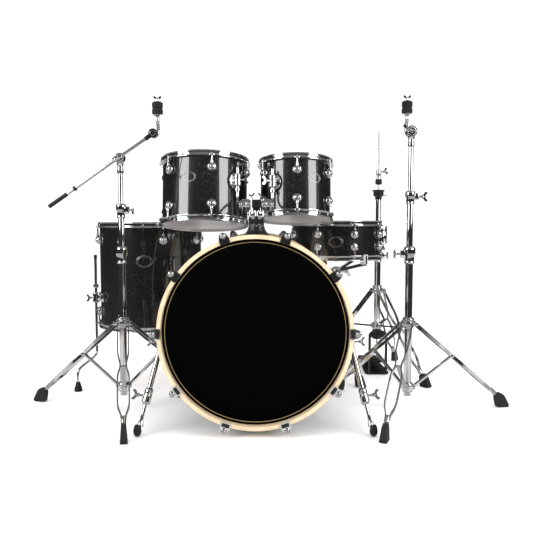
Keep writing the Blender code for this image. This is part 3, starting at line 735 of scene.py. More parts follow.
def tom_mount():
    top = box_of("tom_mount_base")[1].z
    at_mount = Matrix.Translation((0, MOUNT_Y, 0))
    flare = [(0.046, 0.596), (0.0462, 0.6035), (0.04, 0.61), (0.031, 0.621),
             (0.0262, 0.633), (0.025, 0.64), (0.0129, 0.64), (0.0129, 0.596)]
    base = [(0.0225, 0.6402), (0.0225, 0.66), (0.025, 0.664),
            (0.0265, 0.67), (0.0265, top - 0.002), (0.0245, top), (0.0129, top), (0.0129, 0.6402)]
    lobes = [rod(at_mount @ (heading(60 * k - 90) * 0.0215 + Z * 0.636),
                 at_mount @ (heading(60 * k - 90) * 0.0215 + Z * (top - 0.0006)),
                 0.0062, sides=18) for k in range(6)]
    screw = t_handle((0, MOUNT_Y + 0.02, 0.67), Y, 0.03, X, 0.016)
    piece("tom_mount_column", "root", "chrome", [lathe(base, at_mount, 64, 0.001), *lobes, *screw],
          ["tom_mount_base"])
    skirt = [(0, 0.589), (0.0475, 0.589), (0.0475, 0.596), (0.0455, 0.5975), (0, 0.5975)]
    piece("tom_mount_gasket", "root", "rubber", [lathe(skirt, at_mount, 64, 0.0008)])
    piece("tom_mount_flare", "root", "black_steel", [lathe(flare, at_mount, 64, 0.001)])
    post = [rod((0, MOUNT_Y, 0.572), (0, MOUNT_Y, 0.7), 0.0122, sides=32)]
    rings = [lathe([(0, 0), (0.0165, 0), (0.0165, 0.0032), (0.013, 0.0046), (0, 0.0046)],
                   at(Vector((side * 0.0188, MOUNT_Y, TILTER_Z)), X * side), 36, 0.0008)
             for side in (-1, 1)]
    bolts = []
    for side in (-1, 1):
        bolts += wing_bolt((side * 0.0085, MOUNT_Y - 0.004, 0.716),
                           Vector((side * 0.3, -0.05, 1)), 0.016, X, 0.62)
    piece("tom_mount_post_tube", "tom_post", "chrome", [*post, *rings, *bolts], ["tom_mount_post"])
    head = [block((0, MOUNT_Y, 0.7085), (0.029, 0.033, 0.027), None, 0.0035),
            block((0, MOUNT_Y - 0.012, 0.7085), (0.02, 0.014, 0.021), None, 0.003),
            block((0, MOUNT_Y, 0.6915), (0.023, 0.026, 0.011), None, 0.003)]
    piece("tom_mount_head", "tom_post", "black_steel", head)


def arm_line(side):
    """Foot of an arm's upright, the way it points, and the way out of its tom's shell."""
    matrix, radius, _ = drum_place(f"{side}_tom")
    degrees, height = {"left": (-43.8, 0.023), "right": (-125.4, 0.009)}[side]
    foot = matrix @ (heading(degrees) * (radius + ARM_OUT) + Z * height)
    turn = matrix.to_3x3()
    return foot, (turn @ Z).normalized(), (turn @ heading(degrees)).normalized()


def tom_arm(side, sign):
    foot, up, _ = arm_line(side)
    bend = foot - up * 0.075
    pivot = Vector((sign * (TILTER_INNER + TILTER_OUTER) / 2, MOUNT_Y, TILTER_Z))
    path = softened([pivot, bend, foot + up * 0.044], 0.024, 8)
    inner = Vector((sign * TILTER_INNER, MOUNT_Y, TILTER_Z))
    width = TILTER_OUTER - TILTER_INNER
    clamp = [(0, 0), (TILTER_RADIUS, 0), (TILTER_RADIUS, 0.006), (TILTER_RADIUS - 0.0018, 0.0072),
             (TILTER_RADIUS - 0.0018, 0.0098), (TILTER_RADIUS, 0.011), (TILTER_RADIUS, 0.02),
             (TILTER_RADIUS - 0.003, 0.024), (0.013, 0.025), (0.013, width - 0.003),
             (0.01, width), (0, width)]
    toward = (bend - pivot).normalized()
    lock = pivot + toward * 0.03
    shapes = [lathe(clamp, at(inner, X * sign), 48, 0.001), pipe(path, 0.00525, 20),
              rod(pivot, pivot + toward * 0.026, 0.0105, 0.009, 24, 0.0015),
              washer(0.0054, 0.0098, -0.006, 0.006, at(lock, toward)),
              *wing_bolt(pivot + X * sign * 0.004 - Y * 0.012, -Y + Z * 0.1, 0.016, Z, 0.75),
              washer(0.0054, 0.0092, -0.005, 0.005, at(foot - up * 0.034, up))]
    piece(f"{side}_tom_arm_rod", f"{side}_arm", "chrome", shapes, [f"{side}_tom_arm"])


def tom_bracket(side):
    foot, up, out = arm_line(side)
    across = up.cross(out)
    seat = foot - out * ARM_OUT
    on_shell = at(seat, out, across)
    dome = [(0, 0.014), (0.008, 0.0138), (0.015, 0.0118), (0.0185, 0.0096), (0.0215, 0.0088),
            (0.0238, 0.006), (0.024, 0.0025), (0, 0.0025)]
    pad = [(0, -0.003), (0.0262, -0.003), (0.0262, 0.0028), (0, 0.0028)]
    collar = mirrored([(0.0056, -0.021), (0.012, -0.021), (0.0132, -0.018), (0.0132, -0.006),
                       (0.0115, -0.004)], 1)
    shapes = [lathe(dome[::-1], on_shell, 48, 0.0006, 1.22),
              lathe(collar, at(foot, up, out), 40, 0.0008),
              bar(seat + out * 0.004, foot, 0.02, 0.03, across, 0.004),
              *wing_bolt(foot + out * 0.01, out + across * (0.5 if side == "left" else -0.5),
                         0.016, up, 0.9),
              *[rod(seat + up * s * 0.0205 + out * 0.006, seat + up * s * 0.0205 + out * 0.0098,
                    0.0036, sides=6) for s in (-1, 1)]]
    piece(f"{side}_tom_bracket_clamp", f"{side}_tom", "chrome", shapes, [f"{side}_tom_bracket"])
    piece(f"{side}_tom_bracket_pad", f"{side}_tom", "rubber",
          [lathe(pad, on_shell, 48, 0.0008, 1.25)])


# ---------------------------------------------------------------- floor tom legs
FLOOR_LEGS = {  # headings of the upright and of the foot, from the drum's axis
    "left": (-152.0, -141.6), "middle": (-58.0, -61.0), "rear": (77.0, 77.0)}
LEG_OUT, LEG_REACH, BRACKET_Z = 0.0245, 0.118, 0.352


def floor_tom_legs(matrix, radius):
    centre = matrix.translation
    brackets, pads = [], []
    for name, (degrees, foot_degrees) in FLOOR_LEGS.items():
        node = f"floor_tom_{name}_leg"
        out = heading(degrees)
        across = Z.cross(out)
        line = centre.xy.to_3d() + out * (radius + LEG_OUT)
        foot = centre.xy.to_3d() + heading(foot_degrees) * (radius + LEG_REACH)
        top = line + Z * box_of(node)[1].z
        path = [top - Z * 0.001, line + Z * 0.124, foot + Z * 0.083, foot + Z * 0.012]
        rods = [pipe(softened(path, 0.022, 8), 0.005, 20),
                washer(0.0051, 0.01, -0.006, 0.006, at(line + Z * 0.398))]
        piece(f"{node}_rod", f"floor_leg_{name}", "chrome", rods, [node])
        boot = [(0, 0), (0.0142, 0), (0.0152, 0.004), (0.0138, 0.014), (0.0098, 0.026),
                (0.0082, 0.036), (0, 0.037)]
        piece(f"{node}_tip", f"floor_leg_{name}", "rubber",
              [lathe(boot, at(foot), 32, 0.001),
               lathe([(0, 0), (0.0062, 0), (0.0062, 0.012), (0, 0.014)], at(top - Z * 0.012), 24,
                     0.0012)])
        clamp = line + Z * BRACKET_Z
        seat = clamp - out * LEG_OUT
        on_shell = at(seat, out, across)
        knuckles = [rod(seat + across * s * 0.0215 + Z * 0.016 + out * 0.005,
                        seat + across * s * 0.0215 - Z * 0.016 + out * 0.005, 0.0068,
                        sides=24, edge=0.002) for s in (-1, 1)]
        collar = mirrored([(0.0052, -0.019), (0.0115, -0.019), (0.0125, -0.016)], 1)
        brackets += [block((0, 0, 0.003), (0.06, 0.034, 0.01), on_shell, 0.003), *knuckles,
                     lathe(collar, at(clamp), 36, 0.0008),
                     bar(seat + out * 0.004, clamp - out * 0.006, 0.022, 0.026, across, 0.004),
                     *wing_bolt(clamp + out * 0.01, out, 0.012, Z, 0.85)]
        pads.append(block((0, 0, -0.002), (0.064, 0.038, 0.004), on_shell, 0.0015))
    piece("floor_tom_leg_brackets", "root", "chrome", brackets)
    piece("floor_tom_bracket_pads", "root", "rubber", pads)


# ---------------------------------------------------------------- snare drum
STRANDS, STRAND_WAVES = 20, 90


def snare_fittings(matrix, radius):
    """Strainer, throw-off lever, butt plate and wires."""
    centre = matrix.translation
    low, high = box_of("snare_strainer")
    mid_y = (low.y + high.y) / 2
    side = centre.x + radius
    body = [block((side + 0.007, mid_y, centre.z + 0.004), (0.013, 0.029, 0.062), None, 0.003),
            block((side + 0.015, mid_y, centre.z + 0.012), (0.011, 0.02, 0.036), None, 0.003),
            block((side + 0.013, mid_y, centre.z - 0.034), (0.013, 0.022, 0.018), None, 0.002),
            lathe([(0, 0), (0.0075, 0), (0.008, 0.004), (0.0075, 0.012), (0, 0.012)],
                  at((side + 0.013, mid_y, centre.z + 0.035)), 24, 0.0008),
            *[rod((side + 0.012, mid_y + s * 0.009, centre.z - 0.02),
                  (side + 0.015, mid_y + s * 0.009, centre.z - 0.02), 0.003, sides=6)
              for s in (-1, 1)]]
    piece("snare_strainer_body", "snare", "chrome", body, ["snare_strainer"])
    low, high = box_of("snare_throw_off_lever")
    x = (low.x + high.x) / 2
    outline = softened(mirrored([(0.0045, low.z), (0.006, high.z - 0.014), (0.006, high.z)]),
                       0.003, 4, closed=True)
    lever = plate(outline, 0.005, at((x, mid_y, 0), X, Y), 0.0012)
    knob = rod((x - 0.002, mid_y, low.z + 0.007), (x + 0.005, mid_y, low.z + 0.007), 0.0052)
    piece("snare_lever", "throw_off", "chrome", [lever, knob], ["snare_throw_off_lever"])
    across = Matrix.Translation((centre.x - radius, mid_y, centre.z))
    butt = [block((-0.007, 0, 0), (0.013, 0.028, 0.038), across, 0.003),
            block((-0.011, 0, -0.022), (0.01, 0.022, 0.014), across, 0.002)]
    piece("snare_butt_plate", "snare", "chrome", butt)
    low, high = box_of("snare_wires")
    strands = []
    z = (low.z + high.z) / 2
    for k in range(STRANDS):
        y = low.y + 0.0015 + (high.y - low.y - 0.003) * k / (STRANDS - 1)
        path = [Vector((low.x + 0.012 + (high.x - low.x - 0.024) * i / STRAND_WAVES,
                        y + 0.00035 * (1 if i % 2 else -1), z)) for i in range(STRAND_WAVES + 1)]
        strands.append(pipe(path, 0.00065, 6))
    ends = [block(((low.x + 0.006) if s < 0 else (high.x - 0.006), (low.y + high.y) / 2, z),
                  (0.014, high.y - low.y, 0.0014), None, 0.0004) for s in (-1, 1)]
    piece("snare_wire_strands", "snare", "brushed_steel", [*strands, *ends], ["snare_wires"])


# ---------------------------------------------------------------- stands
# Each stand: its axis on the floor, the reach of its feet, and the heading of its first leg.
RIGHT_STAND = ((0.5186, 0.292), 0.346, 7.0)
LEFT_STAND = ((-0.463, 0.302), 0.345, -77.5)
SNARE_STAND = ((0.3162, 0.745), 0.17, -60.0)
HIHAT_STAND = ((0.504, 0.843), 0.285, -57.0)
LOWER_TUBE, LOWER_BORE = 0.0127, 0.0109
MIDDLE_TUBE, MIDDLE_BORE = 0.0104, 0.0086
TOP_TUBE, TUBE_OVERLAP = 0.0081, 0.23
CYMBAL_HUB_Z, CYMBAL_COLLAR_Z, FIRST_JOINT = 0.303, 0.082, (0.508, 0.567)
BRACE_SHARE = 0.45  # of a leg's length, from the top, to the pivot of its brace


def leg_channel(width=0.004, tall=0.011, wall=0.0012):
    """A U section, open along +X, with its back on -X."""
    w, t = width / 2, tall / 2
    return mirrored([(-w, -t), (w, -t), (w, -t + wall), (-w + wall, -t + wall)], 1)


def tripod(name, node, stand, hub_z, collar_z, width=0.018):
    """Chrome and rubber shapes of a tripod: double-strut legs, braces, hub and collar."""
    (x, y), reach, azimuth = stand
    hub, collar = Vector((x, y, hub_z)), Vector((x, y, collar_z))
    steel = [lathe([(0.0128, -0.016), (0.0175, -0.016), (0.0185, -0.01), (0.0185, 0.01),
                    (0.0205, 0.013), (0.0205, 0.016), (0.0175, 0.02), (0.0128, 0.021)],
                   at(hub), 40, 0.001),
             lathe([(0.0128, -0.016), (0.0185, -0.016), (0.0205, -0.012), (0.0205, 0.01),
                    (0.017, 0.015), (0.0128, 0.016)], at(collar), 40, 0.001)]
    soft = []
    for k in range(3):
        out = heading(azimuth + 120 * k)
        across = Z.cross(out)
        top = hub + out * 0.022
        pad = Vector((x, y, 0)) + out * reach
        ankle = pad - out * 0.022 + Z * 0.044
        pivot = top.lerp(ankle, BRACE_SHARE)
        for side in (-1, 1):
            spread = ((0, width), (BRACE_SHARE - 0.13, width), (BRACE_SHARE, 0.0072),
                      (BRACE_SHARE + 0.08, width), (0.83, width), (0.92, 0.0062), (0.985, 0.0062))
            path = [top.lerp(ankle, t) + across * side * s for t, s in spread]
            steel.append(sweep(leg_channel(), softened(path, 0.018, 5), across=across * side))
            steel.append(rod(pivot + across * side * 0.009, pivot + across * side * 0.0125, 0.0052,
                             sides=20))
            steel.append(rod(top + across * side * (width + 0.0035),
                             top + across * side * (width + 0.007), 0.0062, sides=20))
        steel += [rod(top - across * (width + 0.003), top + across * (width + 0.003), 0.0052),
                  rod(pivot - across * 0.011, pivot + across * 0.011, 0.0036),
                  bar(hub + out * 0.018, top + out * 0.002, 0.022, 0.02, across, 0.003),
                  bar(collar + out * 0.016, collar + out * 0.026, 0.016, 0.018, across, 0.003),
                  rod(collar + out * 0.022 - across * 0.011, collar + out * 0.022 + across * 0.011,
                      0.004)]
        brace = mirrored([(0.0072, -0.0026), (0.0072, 0.0026), (0.006, 0.0026),
                          (0.006, -0.0014)])
        steel.append(sweep(brace, [collar + out * 0.02, pivot], across=across))
        boot = softened([(-0.02, 0.0), (0.019, 0.0), (0.0235, 0.007), (0.006, 0.043),
                         (-0.012, 0.053), (-0.029, 0.043), (-0.027, 0.026)],
                        0.006, 4, closed=True)
        soft.append(tapered(plate(boot, 0.023, at((0, 0, 0), -Y, X), 0.005),
                            0.053, 0.62, at(pad, Z, out)))
        down = (pad - top).normalized()
        steel.append(rod(ankle - down * 0.03, ankle - down * 0.006, 0.008, 0.0078, 24, 0.001))
    piece(f"{name}_tripod", "root", "chrome", steel, [node])
    piece(f"{name}_feet", "root", "rubber", soft)


def tube(axis, low, high, outer, bore=None):
    """A chrome tube, open at the top when it has a bore."""
    if bore is None:
        return rod((*axis, low), (*axis, high), outer, sides=40)
    profile = [(outer, low), (outer, high), (bore, high), (bore, low)]
    return lathe(profile, Matrix.Translation((*axis, 0)), 40, 0.0006)


def bell_clamp(axis, low, high, outer, tube_radius):
    """The flared height clamp at the top of a tube."""
    tall = high - low
    inner = tube_radius - 0.0002
    outside = [(outer * wide, tall * up) for wide, up in (
        (0.8, 0), (0.84, 0.1), (0.78, 0.16), (0.82, 0.42), (1, 0.58), (1, 0.84), (0.93, 0.93),
        (0.7, 1))]
    place = Matrix.Translation((*axis, low))
    return lathe([(inner, 0), *outside, (inner, tall)], place, 48, 0.0012)


def clamp_screw(axis, z, direction, outer, handle_kind, length=0.022):
    """The two ears of a height clamp and the screw through them."""
    direction = Vector(direction).normalized()
    centre = Vector((*axis, z))
    ears = [block((outer + 0.004, s * 0.0052, 0), (0.018, 0.0044, 0.024), at(centre, Z, direction),
                  0.0015) for s in (-1, 1)]
    start = centre + direction * (outer + 0.004)
    handle = (t_handle(start, direction, length, Z, 0.015) if handle_kind == "bar"
              else wing_bolt(start, direction, length, Z, 1.0))
    return [*ears, *handle]


FELT_RADIUS, FELT_HEIGHT = 0.0182, 0.04


def cymbal_top(name, body, pivot, offset, height, disc_radius, dark):
    """The tilter half, cymbal rod, seat, felts and wing nut above a pivot."""
    seat = pivot + X * offset + Z * height
    back = pivot + Y * 0.0085
    foot = pivot + Vector((offset * 0.9, 0.014, -0.002))
    over = pivot + Vector((offset, 0.0, 0.036))
    shapes = [ratchet(at(back, Y, Z), disc_radius, 0.0105),
              pipe(softened([foot, pivot + Vector((offset, 0.0145, 0.018)), over, over + Z * 0.016],
                            0.008, 5), 0.0056, 20),
              rod(over, seat + Z * (FELT_HEIGHT + 0.013), 0.0037),
              lathe([(0, -0.0105), (0.006, -0.0105), (0.0075, -0.006), (0.0135, -0.0012),
                     (0.0145, 0.0), (0, 0.0)], at(seat), 36, 0.0006)]
    top = seat + Z * (FELT_HEIGHT + 0.0016)
    shapes += [washer(0, 0.012, 0, 0.0012, at(top), 36, 0.0004),
               *wing(at(top + Z * 0.0052, Z, X), 0.78)]
    piece(f"{name}_rod", body, "chrome", shapes, [f"{name}_tilter"])
    middle = FELT_HEIGHT / 2
    felt_shapes = []
    for low, high in ((0.0004, middle - 0.0012), (middle + 0.0012, FELT_HEIGHT - 0.0002)):
        ring = [(FELT_RADIUS - 0.0006, high), (FELT_RADIUS, (low + high) / 2),
                (FELT_RADIUS - 0.0006, low), (0.004, low), (0.004, high)]
        felt_shapes.append(lathe(ring, at(seat), 40, 0.0025))
    felt_shapes.append(lathe([(0.015, middle + 0.0012), (0.015, middle - 0.0012),
                              (0.004, middle - 0.0012), (0.004, middle + 0.0012)],
                             at(seat), 36))
    piece(f"{name}_felt_pads", body, "felt", felt_shapes, [f"{name}_felts"])
    if dark:
        ring = [(0.011, 0.0098), (0.011, 0.0108), (0.0146, 0.0108), (0.0146, 0.0098)]
        piece(f"{name}_dark_ring", body, "black_steel", [lathe(ring, at(back, Y), 36, 0.0004)])


def cymbal_stand(side, tilter_z, second_joint, stand, first_screw, head_radius):
    """Tripod and three tubes of a cymbal stand; returns the pivot at the top."""
    axis = stand[0]
    tripod(f"{side}_stand", f"{side}_stand_base", stand, CYMBAL_HUB_Z, CYMBAL_COLLAR_Z)
    piece(f"{side}_stand_lower_tube", "root", "chrome",
          [tube(axis, 0.052, FIRST_JOINT[1] - 0.003, LOWER_TUBE, LOWER_BORE),
           bell_clamp(axis, *FIRST_JOINT, 0.02, LOWER_TUBE),
           *clamp_screw(axis, sum(FIRST_JOINT) / 2 + 0.004, *first_screw)])
    piece(f"{side}_stand_middle", f"{side}_middle", "chrome",
          [tube(axis, FIRST_JOINT[0] - TUBE_OVERLAP, second_joint[1] - 0.003, MIDDLE_TUBE,
                MIDDLE_BORE),
           bell_clamp(axis, *second_joint, 0.017, MIDDLE_TUBE),
           *clamp_screw(axis, sum(second_joint) / 2 + 0.003, X, 0.014,
                        "wing" if side == "right" else "bar")], [f"{side}_stand_middle_tube"])
    pivot = Vector((*axis, tilter_z))
    head = [tube(axis, second_joint[0] - TUBE_OVERLAP, tilter_z - 0.02, TOP_TUBE),
            lathe([(0.008, -0.052), (0.0108, -0.05), (0.0112, -0.04), (0.0095, -0.036),
                   (0.0095, -0.026), (0.012, -0.016), (0, -0.014), (0, -0.052)][::-1],
                  at(pivot), 36, 0.0008),
            ratchet(at(pivot + Y * 0.0005, -Y, X), head_radius, 0.0145),
            rod(pivot, pivot + Y * 0.008, head_radius - 0.0003, sides=40)]
    piece(f"{side}_stand_top", f"{side}_top", "chrome", head, [f"{side}_stand_top_tube"])
    return pivot


def right_stand():
    pivot = cymbal_stand("right", 0.953, (0.71, 0.7545), RIGHT_STAND,
                         (-X, 0.0165, "bar", 0.03), 0.0188)
    cymbal_top("right_cymbal", "right_tilter", pivot, -0.0155, 0.059, 0.0185, False)
    tip = pivot + Vector((-0.026, -0.0185, 0.016))
    lever = [rod(pivot - Y * 0.01, pivot - Y * 0.02, 0.0058),
             rod(pivot - Y * 0.0185, tip, 0.0036, 0.003)]
    piece("right_stand_tilter_lever", "right_top", "chrome", lever)
    piece("right_stand_lever_grip", "right_top", "rubber",
          [rod(tip - Vector((-0.006, 0, 0.0037)), tip + Vector((-0.004, 0, 0.0025)), 0.005,
               sides=20, edge=0.002)])


def left_stand():
    pivot = cymbal_stand("left", 0.865, (0.663, 0.712), LEFT_STAND,
                         (Y, 0.0165, "bar", 0.022), 0.0175)
    start, end = Vector((-0.697, 0.27, 0.701)), Vector((-0.344, 0.27, 0.944))
    along = (end - start).normalized()
    clamp_at = Vector((pivot.x, start.y, pivot.z))
    nearest = start + along * (clamp_at - start).dot(along)
    face_at = Vector((nearest.x, pivot.y - 0.0125, nearest.z))
    sleeve = mirrored([(0.0057, -0.0135), (0.0108, -0.0135), (0.012, -0.009)], 1)
    holder = [ratchet(at(face_at, -Y, along), 0.0162, 0.013),
              lathe(sleeve, at(nearest, along), 36, 0.001),
              *wing_bolt(nearest - Y * 0.01, -Y, 0.016, along, 0.9)]
    piece("left_boom_holder", "boom_clamp", "chrome", holder, ["left_boom_clamp"])
    collar = washer(0.0049, 0.0082, -0.0045, 0.0045, at(start.lerp(end, 0.25), along))
    boom = [rod(start + along * 0.074, end - along * 0.006, 0.005, sides=28),
            rod(end - Y * 0.0125, end + Y * 0.008, 0.01, sides=28),
            washer(0, 0.0085, 0, 0.0014, at(end - Y * 0.0135, -Y), 32, 0.0004)]
    piece("left_boom_rod", "boom_arm", "chrome", boom, ["left_boom_arm"])
    grip = [(0, 0), (0.0062, 0), (0.007, 0.003)]
    for k in range(8):
        groove = 0.007 + 0.008 * k
        grip += [(0.007, groove), (0.0064, groove + 0.001), (0.0064, groove + 0.002),
                 (0.007, groove + 0.003)]
    grip += [(0.007, 0.072), (0.0056, 0.076), (0, 0.076)]
    disc = ratchet(at(end + Y * 0.0005, -Y, along), 0.0152, 0.0125)
    piece("left_boom_grip", "boom_arm", "black_steel",
          [lathe(grip, at(start, along), 32), collar, disc,
           bar(end - along * 0.034, end - along * 0.008, 0.014, 0.013, along.cross(Y), 0.003)])
    cymbal_top("left_cymbal", "left_tilter", end, 0.015, 0.061, 0.015, True)


def snare_stand(drum_radius, drum_floor):
    axis = SNARE_STAND[0]
    tripod("snare_stand", "snare_stand_base", SNARE_STAND, 0.225, 0.075, 0.015)
    piece("snare_stand_lower_tube", "root", "chrome",
          [tube(axis, 0.052, 0.342, LOWER_TUBE, LOWER_BORE),
           bell_clamp(axis, 0.305, 0.345, 0.02, LOWER_TUBE),
           *clamp_screw(axis, 0.328, X, 0.0165, "bar")])
    piece("snare_stand_upper", "snare_upper", "chrome",
          [tube(axis, 0.216, 0.415, MIDDLE_TUBE),
           block((*axis, 0.421), (0.021, 0.04, 0.025), None, 0.004)],
          ["snare_stand_upper_tube"])
    hub = Vector((*axis, 0.452))
    rim = drum_radius + 0.0165
    arms = [lathe([(0, -0.016), (0.018, -0.016), (0.0212, -0.01), (0.0212, 0.006),
                   (0.016, 0.012), (0.008, 0.016), (0, 0.016)], at(hub), 40, 0.001)]
    grips = []
    for degrees in (-61.0, 59.0, 179.0):
        out = heading(degrees)
        across = Z.cross(out)
        elbow = Vector((*axis, drum_floor - 0.0125)) + out * (rim + 0.0015)
        tip = elbow + Z * 0.034
        arms.append(sweep(leg_channel(0.0075, 0.012), softened(
            [hub + out * 0.014, elbow - out * 0.006, elbow + out * 0.003, tip], 0.008, 5),
            across=across))
        pin = hub + out * 0.016
        arms.append(rod(pin - across * 0.01, pin + across * 0.01, 0.0045))
        path = [elbow - out * 0.02 + Z * 0.004, elbow + Z * 0.002 + out * 0.001,
                tip + Z * 0.003 + out * 0.001]
        section = softened(mirrored([(0.0095, -0.0042), (0.0095, 0.0046)]), 0.0035, 3, closed=True)
        grips.append(sweep(section, softened(path, 0.007, 5), across=across))
    arms += wing_bolt(hub - Z * 0.004 + X * 0.012, X - Y * 0.4, 0.028, Z, 1.2)
    piece("snare_basket_arms", "snare", "chrome", arms, ["snare_stand_basket"])
    piece("snare_basket_grips", "snare", "grey_rubber", grips)


# ---------------------------------------------------------------- hi-hat
def hihat():
    axis = HIHAT_STAND[0]
    x, y = axis
    here = Matrix.Translation((x, y, 0))
    tripod("hihat_stand", "hihat_base", HIHAT_STAND, 0.36, 0.207)
    piece("hihat_lower_tube", "root", "chrome",
          [tube(axis, 0.15, 0.527, LOWER_TUBE, LOWER_BORE),
           bell_clamp(axis, 0.48, 0.53, 0.0185, LOWER_TUBE),
           *clamp_screw(axis, 0.508, X, 0.015, "bar")])
    piece("hihat_upper", "hihat_upper", "chrome",
          [tube(axis, 0.4, 0.752, MIDDLE_TUBE, 0.008),
           *wing_bolt((x + 0.014, y - 0.004, 0.76), X + Z * 0.2, 0.016, Y, 0.5)],
          ["hihat_upper_tube"])
    cup = [(0.0046, 0.744), (0.0106, 0.744), (0.014, 0.747), (0.014, 0.757), (0.0215, 0.7625),
           (0.0215, 0.779), (0.0258, 0.7805), (0.0258, 0.785), (0.0246, 0.7862), (0.0046, 0.7862)]
    piece("hihat_seat_cup", "hihat_upper", "black_steel",
          [lathe(cup, here, 48, 0.0008)])
    piece("hihat_rod", "hihat_rod", "brushed_steel",
          [rod((x, y, 0.112), (x, y, 1.03), 0.0034, sides=20, edge=0.001)], ["hihat_pull_rod"])
    felt_rings = [(0.004, 0.809), (0.0122, 0.809), (0.014, 0.8125), (0.014, 0.8285),
                  (0.0128, 0.83), (0.004, 0.83)]
    piece("hihat_clutch_felt", "hihat_clutch", "felt",
          [lathe(felt_rings, here, 40, 0.0015)], ["hihat_clutch"])
    sleeve = [(0.0037, 0.83), (0.012, 0.83), (0.012, 0.8325), (0.0078, 0.8335),
              (0.0078, 0.846), (0.0098, 0.848), (0.0098, 0.869), (0.0085, 0.8705),
              (0.0037, 0.8705)]
    piece("hihat_clutch_sleeve", "hihat_clutch", "chrome",
          [lathe(sleeve, here, 40, 0.0006),
           *wing_bolt((x + 0.008, y, 0.86), X + Z * 0.25, 0.015, Z, 0.85)])
    pedal(x, y, here)


def pedal(x, y, here):
    """Black frame, floor plate and footboard."""
    arch = softened(mirrored([(-0.035, -0.032, 0.006), (-0.035, -0.032, 0.176),
                              (-0.016, -0.032, 0.186)]), 0.012, 6)
    section = softened(mirrored([(0.0065, -0.005), (0.0065, 0.005)]), 0.002, 2, closed=True)
    low_plate = softened(mirrored([(-0.036, -0.034), (-0.052, -0.018), (-0.046, 0.15),
                                   (-0.05, 0.264)]), 0.012, 5, closed=True)
    frame_shapes = [settled(sweep(section, arch, across=Y), here),
                    plate(low_plate, 0.006, here @ Matrix.Translation(Z * 0.0032), 0.001),
                    block((0, -0.032, 0.172), (0.064, 0.015, 0.022), here, 0.004),
                    block((0, 0.243, 0.014), (0.088, 0.042, 0.018), here, 0.004),
                    lathe([(0, 0.15), (0.0185, 0.15), (0.02, 0.156), (0.02, 0.186),
                           (0.017, 0.194), (0, 0.194)], here, 36, 0.001),
                    bar((x, y - 0.036, 0.172), (x, y, 0.172), 0.03, 0.02, X, 0.003)]
    piece("hihat_pedal_frame", "root", "black_steel", frame_shapes, ["hihat_frame"])
    hinge, toe = Vector((x, y + 0.206, 0.026)), Vector((x, y - 0.004, 0.05))
    slope = (toe - hinge).normalized()
    over = slope.cross(X)
    over = over if over.z > 0 else -over
    outline = softened(mirrored([(0.026, 0), (0.033, 0.06), (0.037, 0.16), (0.03, 0.205),
                                 (0.014, 0.219)]), 0.014, 5, closed=True)
    board_at = Matrix.Translation(hinge) @ Matrix((X, slope, over)).transposed().to_4x4()
    ribs = [block((0, 0.05 + 0.022 * k, 0.005), (0.044 + 0.003 * min(k, 4), 0.0045, 0.003),
                  board_at, 0.001) for k in range(7)]
    piece("hihat_footboard_plate", "hihat_pedal", "black_steel",
          [plate(outline, 0.0076, board_at, 0.0018), *ribs,
           rod(hinge - X * 0.03, hinge + X * 0.03, 0.005)], ["hihat_footboard"])


# ---------------------------------------------------------------- studio
def area_light(name, location, target, width, tall, power):
    light = bpy.data.lights.new(name, "AREA")
    light.shape = "RECTANGLE"
    light.size, light.size_y = width, tall
    light.energy = power
    made = bpy.data.objects.new(name, light)
    made.location = Vector(location) + KIT
    aim = Vector(target) - Vector(location)
    made.rotation_euler = aim.to_track_quat("-Z", "Y").to_euler()
    bpy.context.scene.collection.objects.link(made)
    return made


REFLECTED_ROOM = (  # share of the way from straight down to straight up, and how bright it is
    (0.00, 0.45), (0.28, 0.42), (0.34, 0.8), (0.392, 0.8), (0.418, 0.03), (0.62, 0.03),
    (0.8, 0.3), (0.93, 0.22), (1.00, 0.1))


CAMERA_AT, CAMERA_DOWN = Vector((0.044, -1.875, 0.647)), 4.23


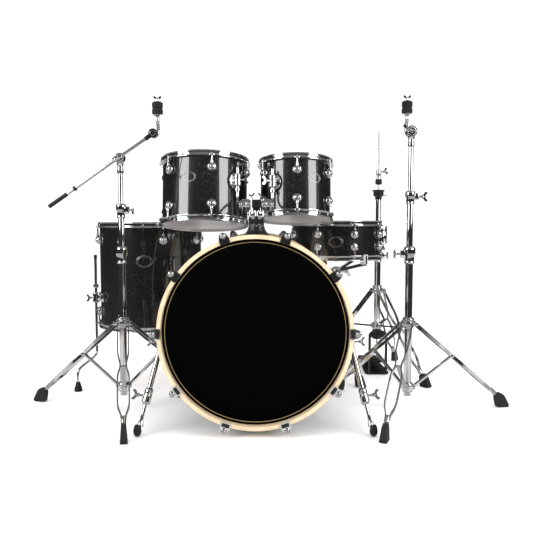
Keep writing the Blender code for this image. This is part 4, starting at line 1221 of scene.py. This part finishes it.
def studio():
    """World, floor, lights and camera."""
    scene = bpy.context.scene
    scene.view_settings.view_transform = "Standard"
    world = bpy.data.worlds.new("studio")
    scene.world = world
    world.use_nodes = True
    nodes, links = world.node_tree.nodes, world.node_tree.links
    backdrop = nodes["Background"]
    backdrop.inputs["Color"].default_value = (1, 1, 1, 1)
    backdrop.inputs["Strength"].default_value = 1.15
    around = nodes.new("ShaderNodeBackground")
    ramp = nodes.new("ShaderNodeValToRGB")
    stops = ramp.color_ramp.elements
    while len(stops) < len(REFLECTED_ROOM):
        stops.new(0.5)
    for stop, (height, level) in zip(stops, REFLECTED_ROOM):
        stop.position, stop.color = height, (level, level, level, 1)
    coords = nodes.new("ShaderNodeTexCoord")
    parts = nodes.new("ShaderNodeSeparateXYZ")
    height = nodes.new("ShaderNodeMapRange")
    height.inputs["From Min"].default_value = -1.0
    links.new(coords.outputs["Generated"], parts.inputs[0])
    links.new(parts.outputs["Z"], height.inputs["Value"])
    links.new(height.outputs["Result"], ramp.inputs["Fac"])
    links.new(ramp.outputs["Color"], around.inputs["Color"])
    seen = nodes.new("ShaderNodeLightPath")
    mix = nodes.new("ShaderNodeMixShader")
    links.new(seen.outputs["Is Glossy Ray"], mix.inputs["Fac"])
    links.new(backdrop.outputs[0], mix.inputs[1])
    links.new(around.outputs[0], mix.inputs[2])
    links.new(mix.outputs[0], nodes["World Output"].inputs["Surface"])

    floor_mesh = bpy.data.meshes.new("floor")
    slab = bmesh.new()
    bmesh.ops.create_grid(slab, x_segments=1, y_segments=1, size=40.0)
    slab.to_mesh(floor_mesh)
    slab.free()
    floor = bpy.data.objects.new("floor", floor_mesh)
    floor.location.z = -0.0005
    pale = Finish("pale_floor", grey(0.985), 0.75)
    pale.roughness_from(pale.noise(4.0), 0.7, 0.8)
    floor_mesh.materials.append(pale.material)
    scene.collection.objects.link(floor)
    floor.visible_glossy = False

    for name, x in (("left_softbox", -2.35), ("right_softbox", 2.35)):
        area_light(name, (x, -1.15, 1.65), (0, 0.3, 0.75), 1.35, 1.6, 40)
    top = area_light("top_softbox", (0, 0.3, 3.0), (0, 0.35, 0.4), 2.4, 2.0, 34)
    top.visible_glossy = False

    lens = bpy.data.cameras.new("camera")
    lens.sensor_width, lens.lens = 36.0, 42.46
    camera = bpy.data.objects.new("camera", lens)
    camera.location = KIT + CAMERA_AT
    camera.rotation_euler = (math.radians(90 - CAMERA_DOWN), 0, 0)
    scene.collection.objects.link(camera)
    scene.camera = camera


# ---------------------------------------------------------------- assembly
def main():
    studio()
    bass_drum()
    spurs()
    tom_mount()
    for side, sign in (("left", -1), ("right", 1)):
        dress_drum(f"{side}_tom")
        tom_arm(side, sign)
        tom_bracket(side)
    matrix, radius, _ = dress_drum("floor_tom")
    floor_tom_legs(matrix, radius)
    matrix, radius, half = dress_drum("snare")
    snare_fittings(matrix, radius)
    snare_stand(radius, matrix.translation.z - half - HOOP_TOP)
    hihat()
    right_stand()
    left_stand()


main()
